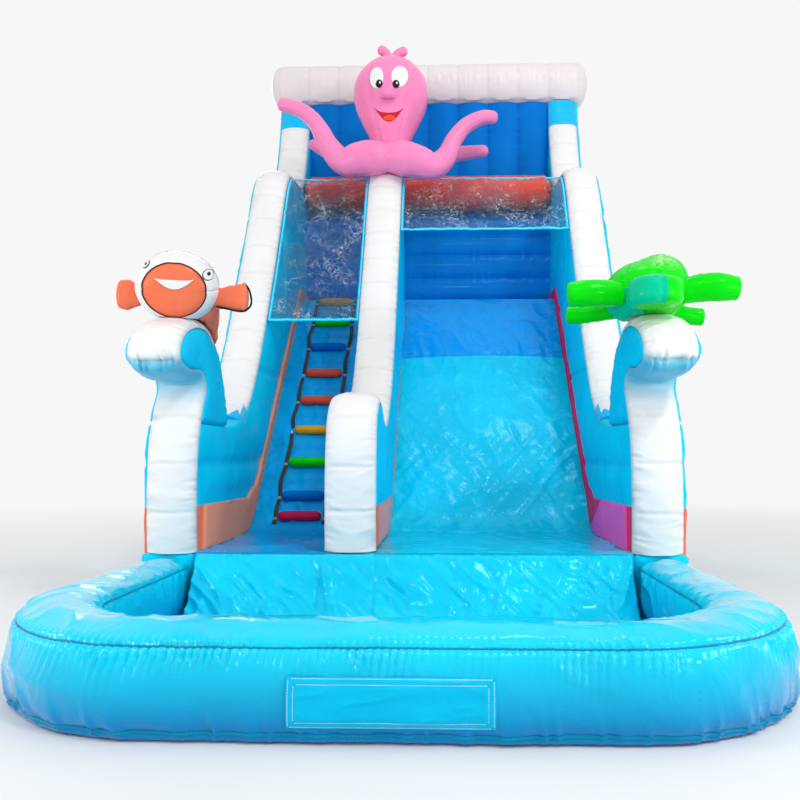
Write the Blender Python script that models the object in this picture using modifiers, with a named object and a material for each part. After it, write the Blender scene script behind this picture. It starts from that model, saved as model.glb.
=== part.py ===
"""Inflatable climbing slide with a splash pool, built as separate sewn pieces.

Frame: metres, +Z up. The origin is on the ground, on the tower's centre plane, at the
front face of the tower. The pool lies towards -Y, the tower towards +Y, and the climbing
lane is on the -X side.
"""

from math import acos, atan2, cos, pi, sin, sqrt, tan

import bmesh
import bpy
from mathutils import Matrix, Vector

# Gaps and skins
GAP = 0.0003
# How far a figure's cutter stands off its body, and the same for a coarse ball
FIT = 0.0008
BALL_FIT = 0.0012
SKIN = 0.045
SHEET = 0.004

# Tower plan
WALL_IN = 1.60
WALL_OUT = 2.00
RIM = 0.055
RIM_ROUND = 0.045
DIVIDER_LOW = -0.65
DIVIDER_HIGH = -0.27
DIVIDER_MID = (DIVIDER_LOW + DIVIDER_HIGH) / 2
REAR_FACE = 4.44

# Levels
DECK_LOW_Z = 0.50
DECK_TOP_Y = 3.70
DECK_TOP_Z = 3.14
DECK_KNEE_Y = 1.45
DECK_THICK = 0.16
PILLAR_SPLIT_Z = 1.45
FACE_FOOT_Z = 0.49
ROLL_WALL_TOP = 4.38
PANEL_TOP = 5.92

# Pool
POOL_HALF = 1.815
POOL_FRONT = -2.095
POOL_CORNER = 0.80
POOL_FLOOR_THICK = 0.006

# Outer line of a pillar's white face, from its foot up and round the curl: (y, z)
FACE_LINE = [
    (0.00, 0.49), (-0.035, 0.90), (-0.02, 1.30), (0.07, 1.58), (0.14, 1.72), (0.04, 1.79),
    (-0.20, 1.775), (-0.40, 1.83), (-0.44, 1.97), (-0.31, 2.12), (-0.05, 2.21),
    (0.20, 2.21), (0.38, 2.13),
]
# Back of the curl, from the end of the white face down to the side wall
WAVE_BACK = [(0.38, 2.13), (0.53, 1.99), (0.66, 1.80), (0.74, 1.60), (0.78, PILLAR_SPLIT_Z)]
# Valley between the pillar and the tower
VALLEY_LINE = [(0.78, PILLAR_SPLIT_Z), (0.92, 1.46), (1.05, 1.485), (1.18, 1.54)]
# Front and top edge of the tower wall, from the valley up over the shoulder to the wing's tip
CAP_LINE = [
    (1.18, 1.54), (1.35, 1.68), (1.55, 1.88), (1.85, 2.33), (2.12, 2.85), (2.38, 3.35),
    (2.60, 3.81), (2.80, 4.24), (3.02, 4.50), (3.35, 4.58), (3.65, 4.61), (3.86, 4.73),
    (4.02, 5.07), (4.15, 5.50), (4.22, PANEL_TOP),
]
# White edge of the divider, from its foot over the front lobe and up to the shoulder
DIVIDER_LINE = [
    (0.00, 0.505), (-0.03, 0.90), (-0.01, 1.30), (0.08, 1.54), (0.28, 1.67), (0.52, 1.64),
    (0.74, 1.53), (0.96, 1.51), (1.25, 1.66), (1.55, 1.93), (1.85, 2.36), (2.12, 2.86),
    (2.38, 3.35), (2.60, 3.81), (2.79, 4.21), (2.95, 4.44), (3.09, 4.52), (3.25, 4.54),
]
DIVIDER_BACK_Y = 3.44

# Climbing lane
RUNG_RADIUS = 0.048
RUNG_LENGTH = 0.41
RUNG_X = -1.13
RUNG_STEPS = [1.56, 1.81, 2.23, 2.66, 3.09, 3.52, 3.96, 4.40, 4.80]
RUNG_COLOURS = ["crimson", "blue", "green", "orange", "red", "red", "blue", "green", "orange"]
STRAP_WIDTH = 0.040
STRAP_X = (-1.362, -0.898)

# Clear film covers: film line runs just inside the caps, from its hem to the shoulder
FILM_DEPTH = 0.065
FILM_TOP_Y = 3.10
FILM_CLIMB_HEM_Z = 2.58
FILM_SLIDE_HEM_Z = 3.69

# Rolls and tubes
ROLL_SEAMS = [3.24, 3.53, 3.83, 4.11, ROLL_WALL_TOP]
RED_ROLL_Y = 4.03
RED_ROLL_Z = 4.605
RED_ROLL_RADIUS = 0.22
PANEL_TUBES = 8
PANEL_FRONT = 4.27
PANEL_BACK = 4.50
PANEL_BULGE = 0.055
CREST_Y = 4.38
CREST_Z = 6.20
CREST_RADIUS = 0.30
CREST_HALF = 2.14
CREST_LOBES = 10

# Fittings
SLEEVE_X = -1.15
SLEEVE_Z = 0.195
SLEEVE_RADIUS = 0.18
SLEEVE_WALL = 0.008
SLEEVE_LENGTH = 0.50
ZIP_X = 0.95
ZIP_Z = 0.36
ZIP_LENGTH = 0.70
RING_WIRE = 0.004
RING_WIDTH = 0.060
RING_DROP = 0.050
TAB_WIDTH = 0.038
TAB_THICK = 0.003
RING_PLACES = {"front": (0.16, 0.42), "rear": (4.20, 0.20)}

COLOURS = {
    "cyan": (0.02, 0.62, 0.90),
    "blue": (0.01, 0.30, 0.80),
    "white": (0.90, 0.91, 0.92),
    "orange": (0.95, 0.33, 0.12),
    "crimson": (0.80, 0.03, 0.18),
    "red": (0.85, 0.08, 0.06),
    "green": (0.05, 0.70, 0.10),
    "pink": (0.95, 0.20, 0.50),
    "black": (0.02, 0.02, 0.025),
    "clear": (0.75, 0.85, 0.90),
    "steel": (0.60, 0.61, 0.63),
}


# Scene helpers

def clear_scene():
    """Remove every object so that the script can run in any file."""
    for item in list(bpy.data.objects):
        bpy.data.objects.remove(item, do_unlink=True)


def new_collection(name):
    """A collection linked to the scene."""
    group = bpy.data.collections.new(name)
    bpy.context.scene.collection.children.link(group)
    return group


def material(name, colour, rough=0.35, metal=0.0):
    """A plain finish for one sub-part."""
    finish = bpy.data.materials.new(name)
    finish.use_nodes = True
    shader = finish.node_tree.nodes["Principled BSDF"]
    shader.inputs["Base Color"].default_value = (*COLOURS[colour], 1.0)
    shader.inputs["Roughness"].default_value = rough
    shader.inputs["Metallic"].default_value = metal
    return finish


def add_part(name, mesh, colour, rough=0.35, metal=0.0, smooth=40.0):
    """Link a mesh as the named sub-part, with its own material and smooth round faces."""
    part = bpy.data.objects.new(name, mesh)
    PARTS.objects.link(part)
    mesh.name = name
    mesh.materials.clear()
    mesh.materials.append(material(name, colour, rough, metal))
    mesh.shade_smooth()
    mesh.set_sharp_from_angle(angle=smooth * pi / 180)
    return part


def add_cutter(name, mesh):
    """Link a mesh as a cutter, shown as wire only."""
    cutter = bpy.data.objects.new(name, mesh)
    CUTTERS.objects.link(cutter)
    cutter.hide_render = True
    cutter.display_type = "WIRE"
    return cutter


def boolean(part, cutter, operation="DIFFERENCE"):
    """Add an exact Boolean modifier."""
    step = part.modifiers.new(cutter.name, "BOOLEAN")
    step.operation = operation
    step.solver = "EXACT"
    step.object = cutter


def round_edges(part, width, where, segments=2):
    """Round the edges of a part's two flat sides, square to X, where a test holds."""
    mesh = part.data
    weights = mesh.attributes.new("bevel_weight_edge", "FLOAT", "EDGE").data
    for edge in mesh.edges:
        start, end = (mesh.vertices[i].co for i in edge.vertices)
        along_rim = abs(start.x - end.x) < 0.0001
        if along_rim and where(start) and where(end):
            weights[edge.index].value = 1.0
    step = part.modifiers.new("round", "BEVEL")
    step.width = width
    step.segments = segments
    step.limit_method = "WEIGHT"


# Lines in a plane, as lists of (a, b) points

def smooth_line(points, steps=2):
    """Catmull-Rom curve through the points, with the given number of steps in each span."""
    line = []
    last = len(points) - 1
    for i in range(last):
        before = points[max(i - 1, 0)]
        start = points[i]
        end = points[i + 1]
        after = points[min(i + 2, last)]
        for k in range(steps):
            t = k / steps
            line.append(tuple(
                0.5 * (2 * b + (c - a) * t + (2 * a - 5 * b + 4 * c - d) * t ** 2
                       + (3 * b - a - 3 * c + d) * t ** 3)
                for a, b, c, d in zip(before, start, end, after)
            ))
    line.append(tuple(points[last]))
    return line


def line_at(line, level):
    """Point where a line first climbs through a level, and how many points lie before it."""
    for i, ((a0, b0), (a1, b1)) in enumerate(zip(line[:-1], line[1:])):
        if b0 < level <= b1:
            t = (level - b0) / (b1 - b0)
            return (a0 + (a1 - a0) * t, level), i + 1
    raise ValueError("the line never climbs through this level")


def inset_line(line, depth):
    """The line moved by depth to its right-hand side, which is inside for a clockwise edge."""
    moved = []
    for i, (a, b) in enumerate(line):
        a0, b0 = line[max(i - 1, 0)]
        a1, b1 = line[min(i + 1, len(line) - 1)]
        size = sqrt((a1 - a0) ** 2 + (b1 - b0) ** 2)
        moved.append((a + depth * (b1 - b0) / size, b - depth * (a1 - a0) / size))
    return moved


def scallops(seams, depth_sign, base, bulge, bow=0.0, steps=4):
    """Bulges between neighbouring seams, on a slight bow over the whole width."""
    line = []
    span = seams[-1] - seams[0]
    for low, high in zip(seams[:-1], seams[1:]):
        for k in range(steps):
            place = low + (high - low) * k / steps
            rise = bulge * sin(pi * k / steps) + bow * sin(pi * (place - seams[0]) / span)
            line.append((place, base + depth_sign * rise))
    line.append((seams[-1], base))
    return line


def even_seams(low, high, count):
    """Seam places that split a length into equal tubes."""
    return [low + (high - low) * i / count for i in range(count + 1)]


def deck_line():
    """Top line of both decks: landing, rounded knee and slope."""
    slope_y = DECK_TOP_Y - DECK_KNEE_Y
    slope_z = DECK_TOP_Z - DECK_LOW_Z
    bend_start = (DECK_KNEE_Y - 0.25, DECK_LOW_Z)
    bend_end = (DECK_KNEE_Y + 0.15, DECK_LOW_Z + 0.15 * slope_z / slope_y)
    line = [(0.0, DECK_LOW_Z)]
    for k in range(5):
        t = k / 4
        line.append(tuple(
            (1 - t) ** 2 * a + 2 * t * (1 - t) * b + t * t * c
            for a, b, c in zip(bend_start, (DECK_KNEE_Y, DECK_LOW_Z), bend_end)
        ))
    line.append((DECK_TOP_Y, DECK_TOP_Z))
    return line


def deck_point(along, lift=0.0):
    """Point at a distance along the decks' top line, lifted square to it: (y, z)."""
    line = deck_line()
    for (y0, z0), (y1, z1) in zip(line[:-1], line[1:]):
        length = sqrt((y1 - y0) ** 2 + (z1 - z0) ** 2)
        if along <= length:
            break
        along -= length
    part_y = (y1 - y0) / length
    part_z = (z1 - z0) / length
    return y0 + along * part_y - lift * part_z, z0 + along * part_z + lift * part_y


def deck_angle():
    """Angle of the slope above the ground."""
    return atan2(DECK_TOP_Z - DECK_LOW_Z, DECK_TOP_Y - DECK_KNEE_Y)


# Meshes

def outline_mesh(loops, half, turn=None):
    """Flat outline, filled and extruded by half each way, as a closed mesh."""
    curve = bpy.data.curves.new("outline", "CURVE")
    curve.dimensions = "2D"
    curve.fill_mode = "BOTH"
    curve.extrude = half
    for loop in loops:
        spline = curve.splines.new("POLY")
        spline.points.add(len(loop) - 1)
        for point, (a, b) in zip(spline.points, loop):
            point.co = (a, b, 0.0, 1.0)
        spline.use_cyclic_u = True
    mesh = mesh_of_curve(curve)
    flat = bmesh.new()
    flat.from_mesh(mesh)
    bmesh.ops.dissolve_limit(
        flat, angle_limit=0.0002, verts=flat.verts, edges=flat.edges, delimit={"NORMAL"}
    )
    if turn is not None:
        bmesh.ops.transform(flat, matrix=turn, verts=flat.verts)
    bmesh.ops.recalc_face_normals(flat, faces=flat.faces)
    flat.to_mesh(mesh)
    flat.free()
    return mesh


def mesh_of_curve(curve):
    """Evaluated mesh of a curve datablock, with its caps welded. The curve is removed."""
    holder = bpy.data.objects.new("curve", curve)
    bpy.context.scene.collection.objects.link(holder)
    ready = holder.evaluated_get(bpy.context.evaluated_depsgraph_get())
    mesh = bpy.data.meshes.new_from_object(ready)
    welded = bmesh.new()
    welded.from_mesh(mesh)
    bmesh.ops.transform(welded, matrix=holder.matrix_world, verts=welded.verts)
    bmesh.ops.remove_doubles(welded, verts=welded.verts, dist=0.00005)
    bmesh.ops.recalc_face_normals(welded, faces=welded.faces)
    welded.to_mesh(mesh)
    welded.free()
    bpy.data.objects.remove(holder, do_unlink=True)
    bpy.data.curves.remove(curve)
    return mesh


def side_outline(loop, x_low, x_high, holes=()):
    """Outline drawn in (y, z), extruded between two x values."""
    turn = Matrix(((0, 0, 1, (x_low + x_high) / 2), (1, 0, 0, 0), (0, 1, 0, 0), (0, 0, 0, 1)))
    return outline_mesh([loop, *holes], (x_high - x_low) / 2, turn)


def plan_outline(loop, z_low, z_high):
    """Outline drawn in (x, y), extruded between two z values."""
    turn = Matrix.Translation((0, 0, (z_low + z_high) / 2))
    return outline_mesh([loop], (z_high - z_low) / 2, turn)


def front_outline(loop, y_low, y_high):
    """Outline drawn in (x, z), extruded between two y values."""
    turn = Matrix(((1, 0, 0, 0), (0, 0, -1, (y_low + y_high) / 2), (0, 1, 0, 0), (0, 0, 0, 1)))
    return outline_mesh([loop], (y_high - y_low) / 2, turn)


def box_mesh(low, high):
    """Cuboid between two corners."""
    block = bmesh.new()
    bmesh.ops.create_cube(block, size=1.0)
    size = [b - a for a, b in zip(low, high)]
    middle = [(a + b) / 2 for a, b in zip(low, high)]
    bmesh.ops.transform(
        block, matrix=Matrix.Translation(middle) @ Matrix.Diagonal((*size, 1)), verts=block.verts
    )
    mesh = bpy.data.meshes.new("box")
    block.to_mesh(mesh)
    block.free()
    return mesh


def mirrored(mesh):
    """Copy of a mesh on the other side of the centre plane."""
    copy = mesh.copy()
    flipped = bmesh.new()
    flipped.from_mesh(copy)
    bmesh.ops.transform(flipped, matrix=Matrix.Diagonal((-1, 1, 1, 1)), verts=flipped.verts)
    bmesh.ops.reverse_faces(flipped, faces=flipped.faces)
    flipped.to_mesh(copy)
    flipped.free()
    return copy


def tube_mesh(stations, steps=3, sides=3, round_start=False, round_end=True):
    """Tube through (x, y, z, radius) stations on a smooth curve, with rounded ends if asked."""
    path = smooth_line(stations, steps)
    if round_start:
        path = dome(path[1], path[0])[::-1] + path[1:]
    if round_end:
        path = path[:-1] + dome(path[-2], path[-1])
    curve = bpy.data.curves.new("tube", "CURVE")
    curve.dimensions = "3D"
    curve.bevel_depth = 1.0
    curve.bevel_resolution = sides
    curve.use_fill_caps = True
    spline = curve.splines.new("POLY")
    spline.points.add(len(path) - 1)
    for point, (x, y, z, radius) in zip(spline.points, path):
        point.co = (x, y, z, 1.0)
        point.radius = radius
    return mesh_of_curve(curve)


def dome(inner, end):
    """Stations that close a tube with a half ball beyond its end."""
    way = (Vector(end[:3]) - Vector(inner[:3])).normalized()
    stations = []
    for angle in (0, 35, 62, 80):
        turn = angle * pi / 180
        place = Vector(end[:3]) + way * end[3] * sin(turn)
        stations.append((*place, end[3] * cos(turn)))
    return stations


def turned_mesh(profile, steps, scale=(1, 1, 1), turn=None):
    """Profile of (radius, height) from top to bottom, turned about Z by a Screw modifier."""
    line = bpy.data.meshes.new("profile")
    line.from_pydata(
        [(radius, 0, height) for radius, height in profile],
        [(i, i + 1) for i in range(len(profile) - 1)],
        [],
    )
    holder = bpy.data.objects.new("profile", line)
    bpy.context.scene.collection.objects.link(holder)
    screw = holder.modifiers.new("turn", "SCREW")
    screw.steps = steps
    screw.render_steps = steps
    screw.use_merge_vertices = True
    screw.merge_threshold = 0.0001
    ready = holder.evaluated_get(bpy.context.evaluated_depsgraph_get())
    mesh = bpy.data.meshes.new_from_object(ready)
    body = bmesh.new()
    body.from_mesh(mesh)
    bmesh.ops.remove_doubles(body, verts=body.verts, dist=0.0001)
    bmesh.ops.transform(body, matrix=Matrix.Diagonal((*scale, 1)), verts=body.verts)
    if turn is not None:
        bmesh.ops.transform(body, matrix=turn, verts=body.verts)
    bmesh.ops.recalc_face_normals(body, faces=body.faces)
    body.to_mesh(mesh)
    body.free()
    bpy.data.objects.remove(holder, do_unlink=True)
    return mesh


def ball_profile(radius, height, rings=8):
    """Half circle profile from the top pole to the bottom pole, stretched to the height."""
    return [
        (radius * sin(pi * i / rings), height * cos(pi * i / rings)) for i in range(rings + 1)
    ]


def loft_mesh(rows):
    """Closed body through equal rings of points, with a flat cap on the first and last ring."""
    count = len(rows[0])
    points = [point for row in rows for point in row]
    faces = [
        (i * count + j, (i + 1) * count + j, (i + 1) * count + (j + 1) % count,
         i * count + (j + 1) % count)
        for i in range(len(rows) - 1)
        for j in range(count)
    ]
    last = (len(rows) - 1) * count
    faces.append(tuple(range(count)))
    faces.append(tuple(last + j for j in range(count))[::-1])
    mesh = bpy.data.meshes.new("loft")
    mesh.from_pydata(points, [], faces)
    body = bmesh.new()
    body.from_mesh(mesh)
    bmesh.ops.recalc_face_normals(body, faces=body.faces)
    body.to_mesh(mesh)
    body.free()
    return mesh


def sheet_part(name, rows, thick, colour, rough=0.35):
    """Open grid of points, made a closed sheet by Solidify."""
    count = len(rows[0])
    points = [point for row in rows for point in row]
    faces = [
        (i * count + j, i * count + j + 1, (i + 1) * count + j + 1, (i + 1) * count + j)
        for i in range(len(rows) - 1)
        for j in range(count - 1)
    ]
    mesh = bpy.data.meshes.new(name)
    mesh.from_pydata(points, [], faces)
    part = add_part(name, mesh, colour, rough)
    step = part.modifiers.new("thickness", "SOLIDIFY")
    step.thickness = thick
    step.offset = 0.0
    return part


# Side walls, pillars and caps

def rim_mesh(line, x_low, x_high):
    """Soft strip along an edge line: flat inside, rounded where it meets the flat sides."""
    corner = RIM_ROUND * (1 - sqrt(0.5))
    half = [(0.0, RIM), (0.0, RIM_ROUND), (corner, corner), (RIM_ROUND, 0.0)]
    section = [(x_low + a, depth) for a, depth in half]
    section += [(x_high - a, depth) for a, depth in half[::-1]]
    levels = [inset_line(line, depth) for _, depth in section]
    rows = []
    for i in range(len(line)):
        rows.append([(x, *level[i]) for (x, _), level in zip(section, levels)])
    return loft_mesh(rows)


def wall_outline():
    """Blue body of a side wall, behind the white face and under the white cap."""
    line = inset_line(smooth_line(FACE_LINE), RIM + GAP)
    top, count = line_at(line, PILLAR_SPLIT_Z)
    face = line[:count] + [top]
    cap = inset_line(smooth_line(CAP_LINE), RIM + GAP)
    rear = REAR_FACE + 0.11
    return (
        [(0.0, 0.0), (0.0, FACE_FOOT_Z - 0.004), (face[0][0], FACE_FOOT_Z - 0.004)]
        + face
        + smooth_line(VALLEY_LINE)[:-1]
        + cap
        + [(cap[-1][0], PANEL_TOP), (rear, PANEL_TOP), (rear, 0.0)]
    )


def wall_hollow():
    """Air space in a side wall, open at the foot."""
    return [
        (0.15, -0.10), (0.13, 1.30), (0.70, 1.36), (1.20, 1.40), (1.48, 1.62), (1.95, 2.32),
        (2.45, 3.25), (2.90, 4.16), (3.10, 4.30), (3.75, 4.34), (4.02, 4.60), (4.20, 5.10),
        (4.32, 5.80), (REAR_FACE + 0.04, 5.80), (REAR_FACE + 0.04, -0.10),
    ]


def wave_outline():
    """Blue core of the curl, between the white face and the back of the wave."""
    line = inset_line(smooth_line(FACE_LINE), RIM + GAP)
    base = PILLAR_SPLIT_Z + GAP
    start, count = line_at(line, base)
    back = [point for point in smooth_line(WAVE_BACK)[1:] if point[1] > base + 0.02]
    return [start] + line[count:] + back + [(VALLEY_LINE[0][0], base)]


def skirt_outline():
    """Skirt at the foot of the inner face and the trim that follows the slope."""
    trim = 0.13
    deck = [(y, z + 2 * GAP) for y, z in deck_line()]
    end_y = REAR_FACE - 0.27
    low = [(0.14, DECK_LOW_Z + GAP)] + deck[1:] + [(end_y, DECK_TOP_Z + GAP)]
    turn_y = DECK_TOP_Y - trim * tan(deck_angle() / 2)
    top = [
        (end_y, DECK_TOP_Z + trim), (turn_y, DECK_TOP_Z + trim), deck_point(2.10, trim),
        deck_point(1.85, trim + 0.02), (1.50, 0.90), (1.34, 0.82), (1.02, 0.825), (0.14, 0.835),
    ]
    return low + top


def build_walls():
    """Side walls, caps, skirts, wave heads and pillar faces, left and right."""
    wall = side_outline(wall_outline(), WALL_IN, WALL_OUT)
    hollow = side_outline(wall_hollow(), WALL_IN + SKIN, WALL_OUT - SKIN)
    cap = rim_mesh(smooth_line(CAP_LINE), WALL_IN, WALL_OUT)
    face = rim_mesh(smooth_line(FACE_LINE), WALL_IN, WALL_OUT)
    wave = side_outline(wave_outline(), WALL_IN, WALL_OUT)
    skirt = side_outline(skirt_outline(), WALL_IN - GAP - 0.03, WALL_IN - GAP)
    for side, place in (("left", mirrored), ("right", lambda mesh: mesh.copy())):
        body = add_part(f"side_wall_{side}", place(wall), "cyan")
        round_edges(body, 0.05, lambda point: point.y > REAR_FACE + 0.05)
        boolean(body, add_cutter(f"wall_hollow_{side}", place(hollow)))
        add_part(f"wall_cap_{side}", place(cap), "white")
        add_part(f"pillar_face_{side}", place(face), "white")
        core = add_part(f"wave_head_{side}", place(wave), "cyan")
        round_edges(core, 0.05, lambda point: point.y > 0.45 and point.z > PILLAR_SPLIT_Z + 0.01)
        colour = "orange" if side == "left" else "crimson"
        add_part(f"wall_skirt_{side}", place(skirt), colour)


# Divider

def divider_outline():
    """Blue body of the divider, standing on the decks."""
    edge = inset_line(smooth_line(DIVIDER_LINE), RIM + GAP)
    foot = [(y, z + 2 * GAP) for y, z in deck_line()]
    end_z = deck_height(DIVIDER_BACK_Y) + 2 * GAP
    top_z = edge[-1][1]
    return (
        [(edge[0][0], foot[0][1])] + edge
        + [(DIVIDER_BACK_Y, top_z), (DIVIDER_BACK_Y, end_z)]
        + foot[1:-1][::-1]
    )


def deck_height(y):
    """Height of the deck's slope at a y value."""
    return DECK_LOW_Z + (y - DECK_KNEE_Y) * tan(deck_angle())


def build_divider():
    """Divider body and the white cap over its front lobe and top edge."""
    body = add_part(
        "divider_wall", side_outline(divider_outline(), DIVIDER_LOW, DIVIDER_HIGH), "cyan"
    )
    hollow = [
        (0.10, 0.35), (0.10, 1.28), (0.30, 1.52), (0.72, 1.39), (1.02, 1.40), (1.32, 1.57),
        (1.66, 1.86), (2.02, 2.42), (2.52, 3.38), (2.92, 4.08), (3.08, 4.24), (3.38, 4.26),
        (3.38, 2.60), (1.45, 0.35),
    ]
    space = side_outline(hollow, DIVIDER_LOW + SKIN, DIVIDER_HIGH - SKIN)
    boolean(body, add_cutter("divider_hollow", space))
    cap = rim_mesh(smooth_line(DIVIDER_LINE), DIVIDER_LOW, DIVIDER_HIGH)
    add_part("divider_cap", cap, "white")


# Decks and what carries them

def deck_outline():
    """Inflated deck slab: landing and slope."""
    top = deck_line()
    end_y = DECK_TOP_Y - GAP
    end_z = deck_height(end_y)
    drop = DECK_THICK / cos(deck_angle())
    under_z = DECK_LOW_Z - DECK_THICK
    knee_y = DECK_KNEE_Y + (drop - DECK_THICK) / tan(deck_angle())
    return top[:-1] + [(end_y, end_z), (end_y, end_z - drop), (knee_y, under_z), (0.0, under_z)]


def baffle_outline(x_half, y):
    """Upright web under the decks at a y value, between the walls: (x, z) points."""
    drop = DECK_THICK / cos(deck_angle()) + 0.012
    top_z = deck_height(y) - drop
    low_z = POOL_FLOOR_THICK + GAP
    return [(-x_half, low_z), (x_half, low_z), (x_half, top_z), (-x_half, top_z)]


def build_decks():
    """Slide deck, climbing deck, platform, base sheet and the baffles under them."""
    x_edge = WALL_IN - GAP
    loop = deck_outline()
    add_part("slide_deck", side_outline(loop, DIVIDER_MID + GAP, x_edge), "cyan", 0.25)
    add_part("climb_deck", side_outline(loop, -x_edge, DIVIDER_MID - GAP), "cyan", 0.25)
    drop = DECK_THICK / cos(deck_angle())
    add_part(
        "platform_deck",
        box_mesh((-x_edge, DECK_TOP_Y, DECK_TOP_Z - drop),
                 (x_edge, REAR_FACE - 0.24 - GAP, DECK_TOP_Z)),
        "blue",
    )
    add_part(
        "base_sheet",
        box_mesh((-x_edge, -0.03, 0.0), (x_edge, REAR_FACE - 0.24 - GAP, POOL_FLOOR_THICK)),
        "blue",
    )
    for name, y in (("support_baffle_front", 1.95), ("support_baffle_rear", 3.10)):
        loop = baffle_outline(x_edge - 0.01, y)
        add_part(name, front_outline(loop, y, y + 0.012), "blue")


# Rungs and straps

def build_rungs():
    """Nine padded rungs across the climbing deck, flat where they are sewn to it."""
    seat = deck_outline()
    seat = [(y, z + GAP) for y, z in seat]
    cutter = add_cutter("rung_seat", side_outline(seat, -1.5, -0.7))
    for number, (along, colour) in enumerate(zip(RUNG_STEPS, RUNG_COLOURS), 1):
        y, z = deck_point(along, RUNG_RADIUS * 0.8)
        half = RUNG_LENGTH / 2 - RUNG_RADIUS * 0.6
        end = [(RUNG_X - half, y, z, RUNG_RADIUS), (RUNG_X + half, y, z, RUNG_RADIUS)]
        rung = add_part(f"climb_rung_{number}", rung_mesh(end), colour)
        boolean(rung, cutter)


def rung_mesh(ends):
    """Straight tube with softly rounded ends."""
    (x0, y, z, radius), (x1, _, _, _) = ends
    bulge = radius * 0.6
    stations = [
        (x0 - bulge * 0.97, y, z, radius * 0.45), (x0 - bulge * 0.6, y, z, radius * 0.82),
        (x0, y, z, radius), (x1, y, z, radius),
        (x1 + bulge * 0.6, y, z, radius * 0.82), (x1 + bulge * 0.97, y, z, radius * 0.45),
    ]
    return tube_mesh(stations, steps=1, round_end=False)


def build_straps():
    """Webbing beside the rungs: stitched at each rung and slack between."""
    stops = [RUNG_STEPS[0] - 0.08] + RUNG_STEPS + [RUNG_STEPS[-1] + 0.07]
    for side, x in zip(("left", "right"), STRAP_X):
        rows = []
        for low, high in zip(stops[:-1], stops[1:]):
            count = 4 if high - low > 0.25 else 2
            for k in range(count):
                t = k / count
                rows.append(strap_row(x, low + (high - low) * t, sin(pi * t) ** 2, side))
        rows.append(strap_row(x, stops[-1], 0.0, side))
        sheet_part(f"climb_strap_{side}", rows, 0.003, "black", 0.7)


def strap_row(x, along, slack, side):
    """Two edge points of the strap, lifted and swayed where it is slack."""
    sway = 0.012 * slack * (1 if side == "left" else -1)
    y, z = deck_point(along, 0.003 + 0.020 * slack)
    return [(x - STRAP_WIDTH / 2 + sway, y, z), (x + STRAP_WIDTH / 2 + sway, y, z)]


# Back wall, panel and crest

def build_back():
    """Wall of rolls, red top roll, tall panel of tubes and the white crest."""
    x_edge = WALL_IN - GAP
    front_y = REAR_FACE - 0.24
    front = [(front_y, 0.0), (front_y, ROLL_SEAMS[0])]
    front += [(depth, z) for z, depth in scallops(ROLL_SEAMS, -1, front_y, 0.05)][1:]
    ribs = even_seams(0, ROLL_WALL_TOP, 6)
    rear = [(depth, z) for z, depth in scallops(ribs, 1, REAR_FACE, 0.05, 0.004, 3)]
    wall = add_part("back_wall", side_outline(front + rear[::-1], -x_edge, x_edge), "cyan")
    inner = (front_y + 0.05, REAR_FACE - 0.05)
    space = box_mesh((-x_edge + SKIN, inner[0], -0.10), (x_edge - SKIN, inner[1], 4.26))
    boolean(wall, add_cutter("back_hollow", space))

    seams = even_seams(-x_edge, x_edge, PANEL_TUBES)
    near = scallops(seams, -1, PANEL_FRONT, PANEL_BULGE - 0.006, 0.006)
    far = scallops(seams, 1, PANEL_BACK, PANEL_BULGE * 0.8, 0.006, 3)
    tubes = plan_outline(near + far[::-1], ROLL_WALL_TOP + GAP, PANEL_TOP)
    panel = add_part("back_panel", tubes, "blue")
    space = box_mesh((-x_edge + SKIN, PANEL_FRONT + 0.045, ROLL_WALL_TOP - 0.1),
                     (x_edge - SKIN, PANEL_BACK - 0.045, PANEL_TOP - 0.06))
    boolean(panel, add_cutter("panel_hollow", space))

    flat_y = PANEL_FRONT - PANEL_BULGE - GAP
    flat = acos((flat_y - RED_ROLL_Y) / RED_ROLL_RADIUS)
    loop = []
    for k in range(15):
        turn = flat + (2 * pi - 2 * flat) * k / 14
        loop.append((RED_ROLL_Y + RED_ROLL_RADIUS * cos(turn),
                     RED_ROLL_Z + RED_ROLL_RADIUS * sin(turn)))
    add_part("top_roll", side_outline(loop, -x_edge + 0.01, x_edge - 0.01), "red")
    build_crest()


def build_crest():
    """Wave crest: a lobed tube turned about the X axis and cut flat where it sits."""
    profile = []
    pitch = (2 * CREST_HALF - 0.30) / CREST_LOBES
    for degrees in (0, 30, 60):
        turn = degrees * pi / 180
        profile.append((CREST_RADIUS * 0.93 * sin(turn), CREST_HALF - 0.15 * (1 - cos(turn))))
    for lobe in range(CREST_LOBES):
        for k in range(3):
            along = CREST_HALF - 0.15 - pitch * (lobe + k / 3)
            profile.append((CREST_RADIUS * (0.93 + 0.07 * sin(pi * k / 3)), along))
    for degrees in (90, 60, 30, 0):
        turn = degrees * pi / 180
        profile.append((CREST_RADIUS * 0.93 * sin(turn), -CREST_HALF + 0.15 * (1 - cos(turn))))
    lay = Matrix.Translation((0, CREST_Y, CREST_Z)) @ Matrix.Rotation(pi / 2, 4, "Y")
    crest = add_part("wave_crest", turned_mesh(profile, 12, turn=lay), "white")
    low = (-CREST_HALF - 0.2, CREST_Y - 0.5, PANEL_TOP - 0.5)
    high = (CREST_HALF + 0.2, CREST_Y + 0.5, PANEL_TOP + GAP)
    boolean(crest, add_cutter("crest_seat", box_mesh(low, high)))


# Film covers and loose sheets

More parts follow.
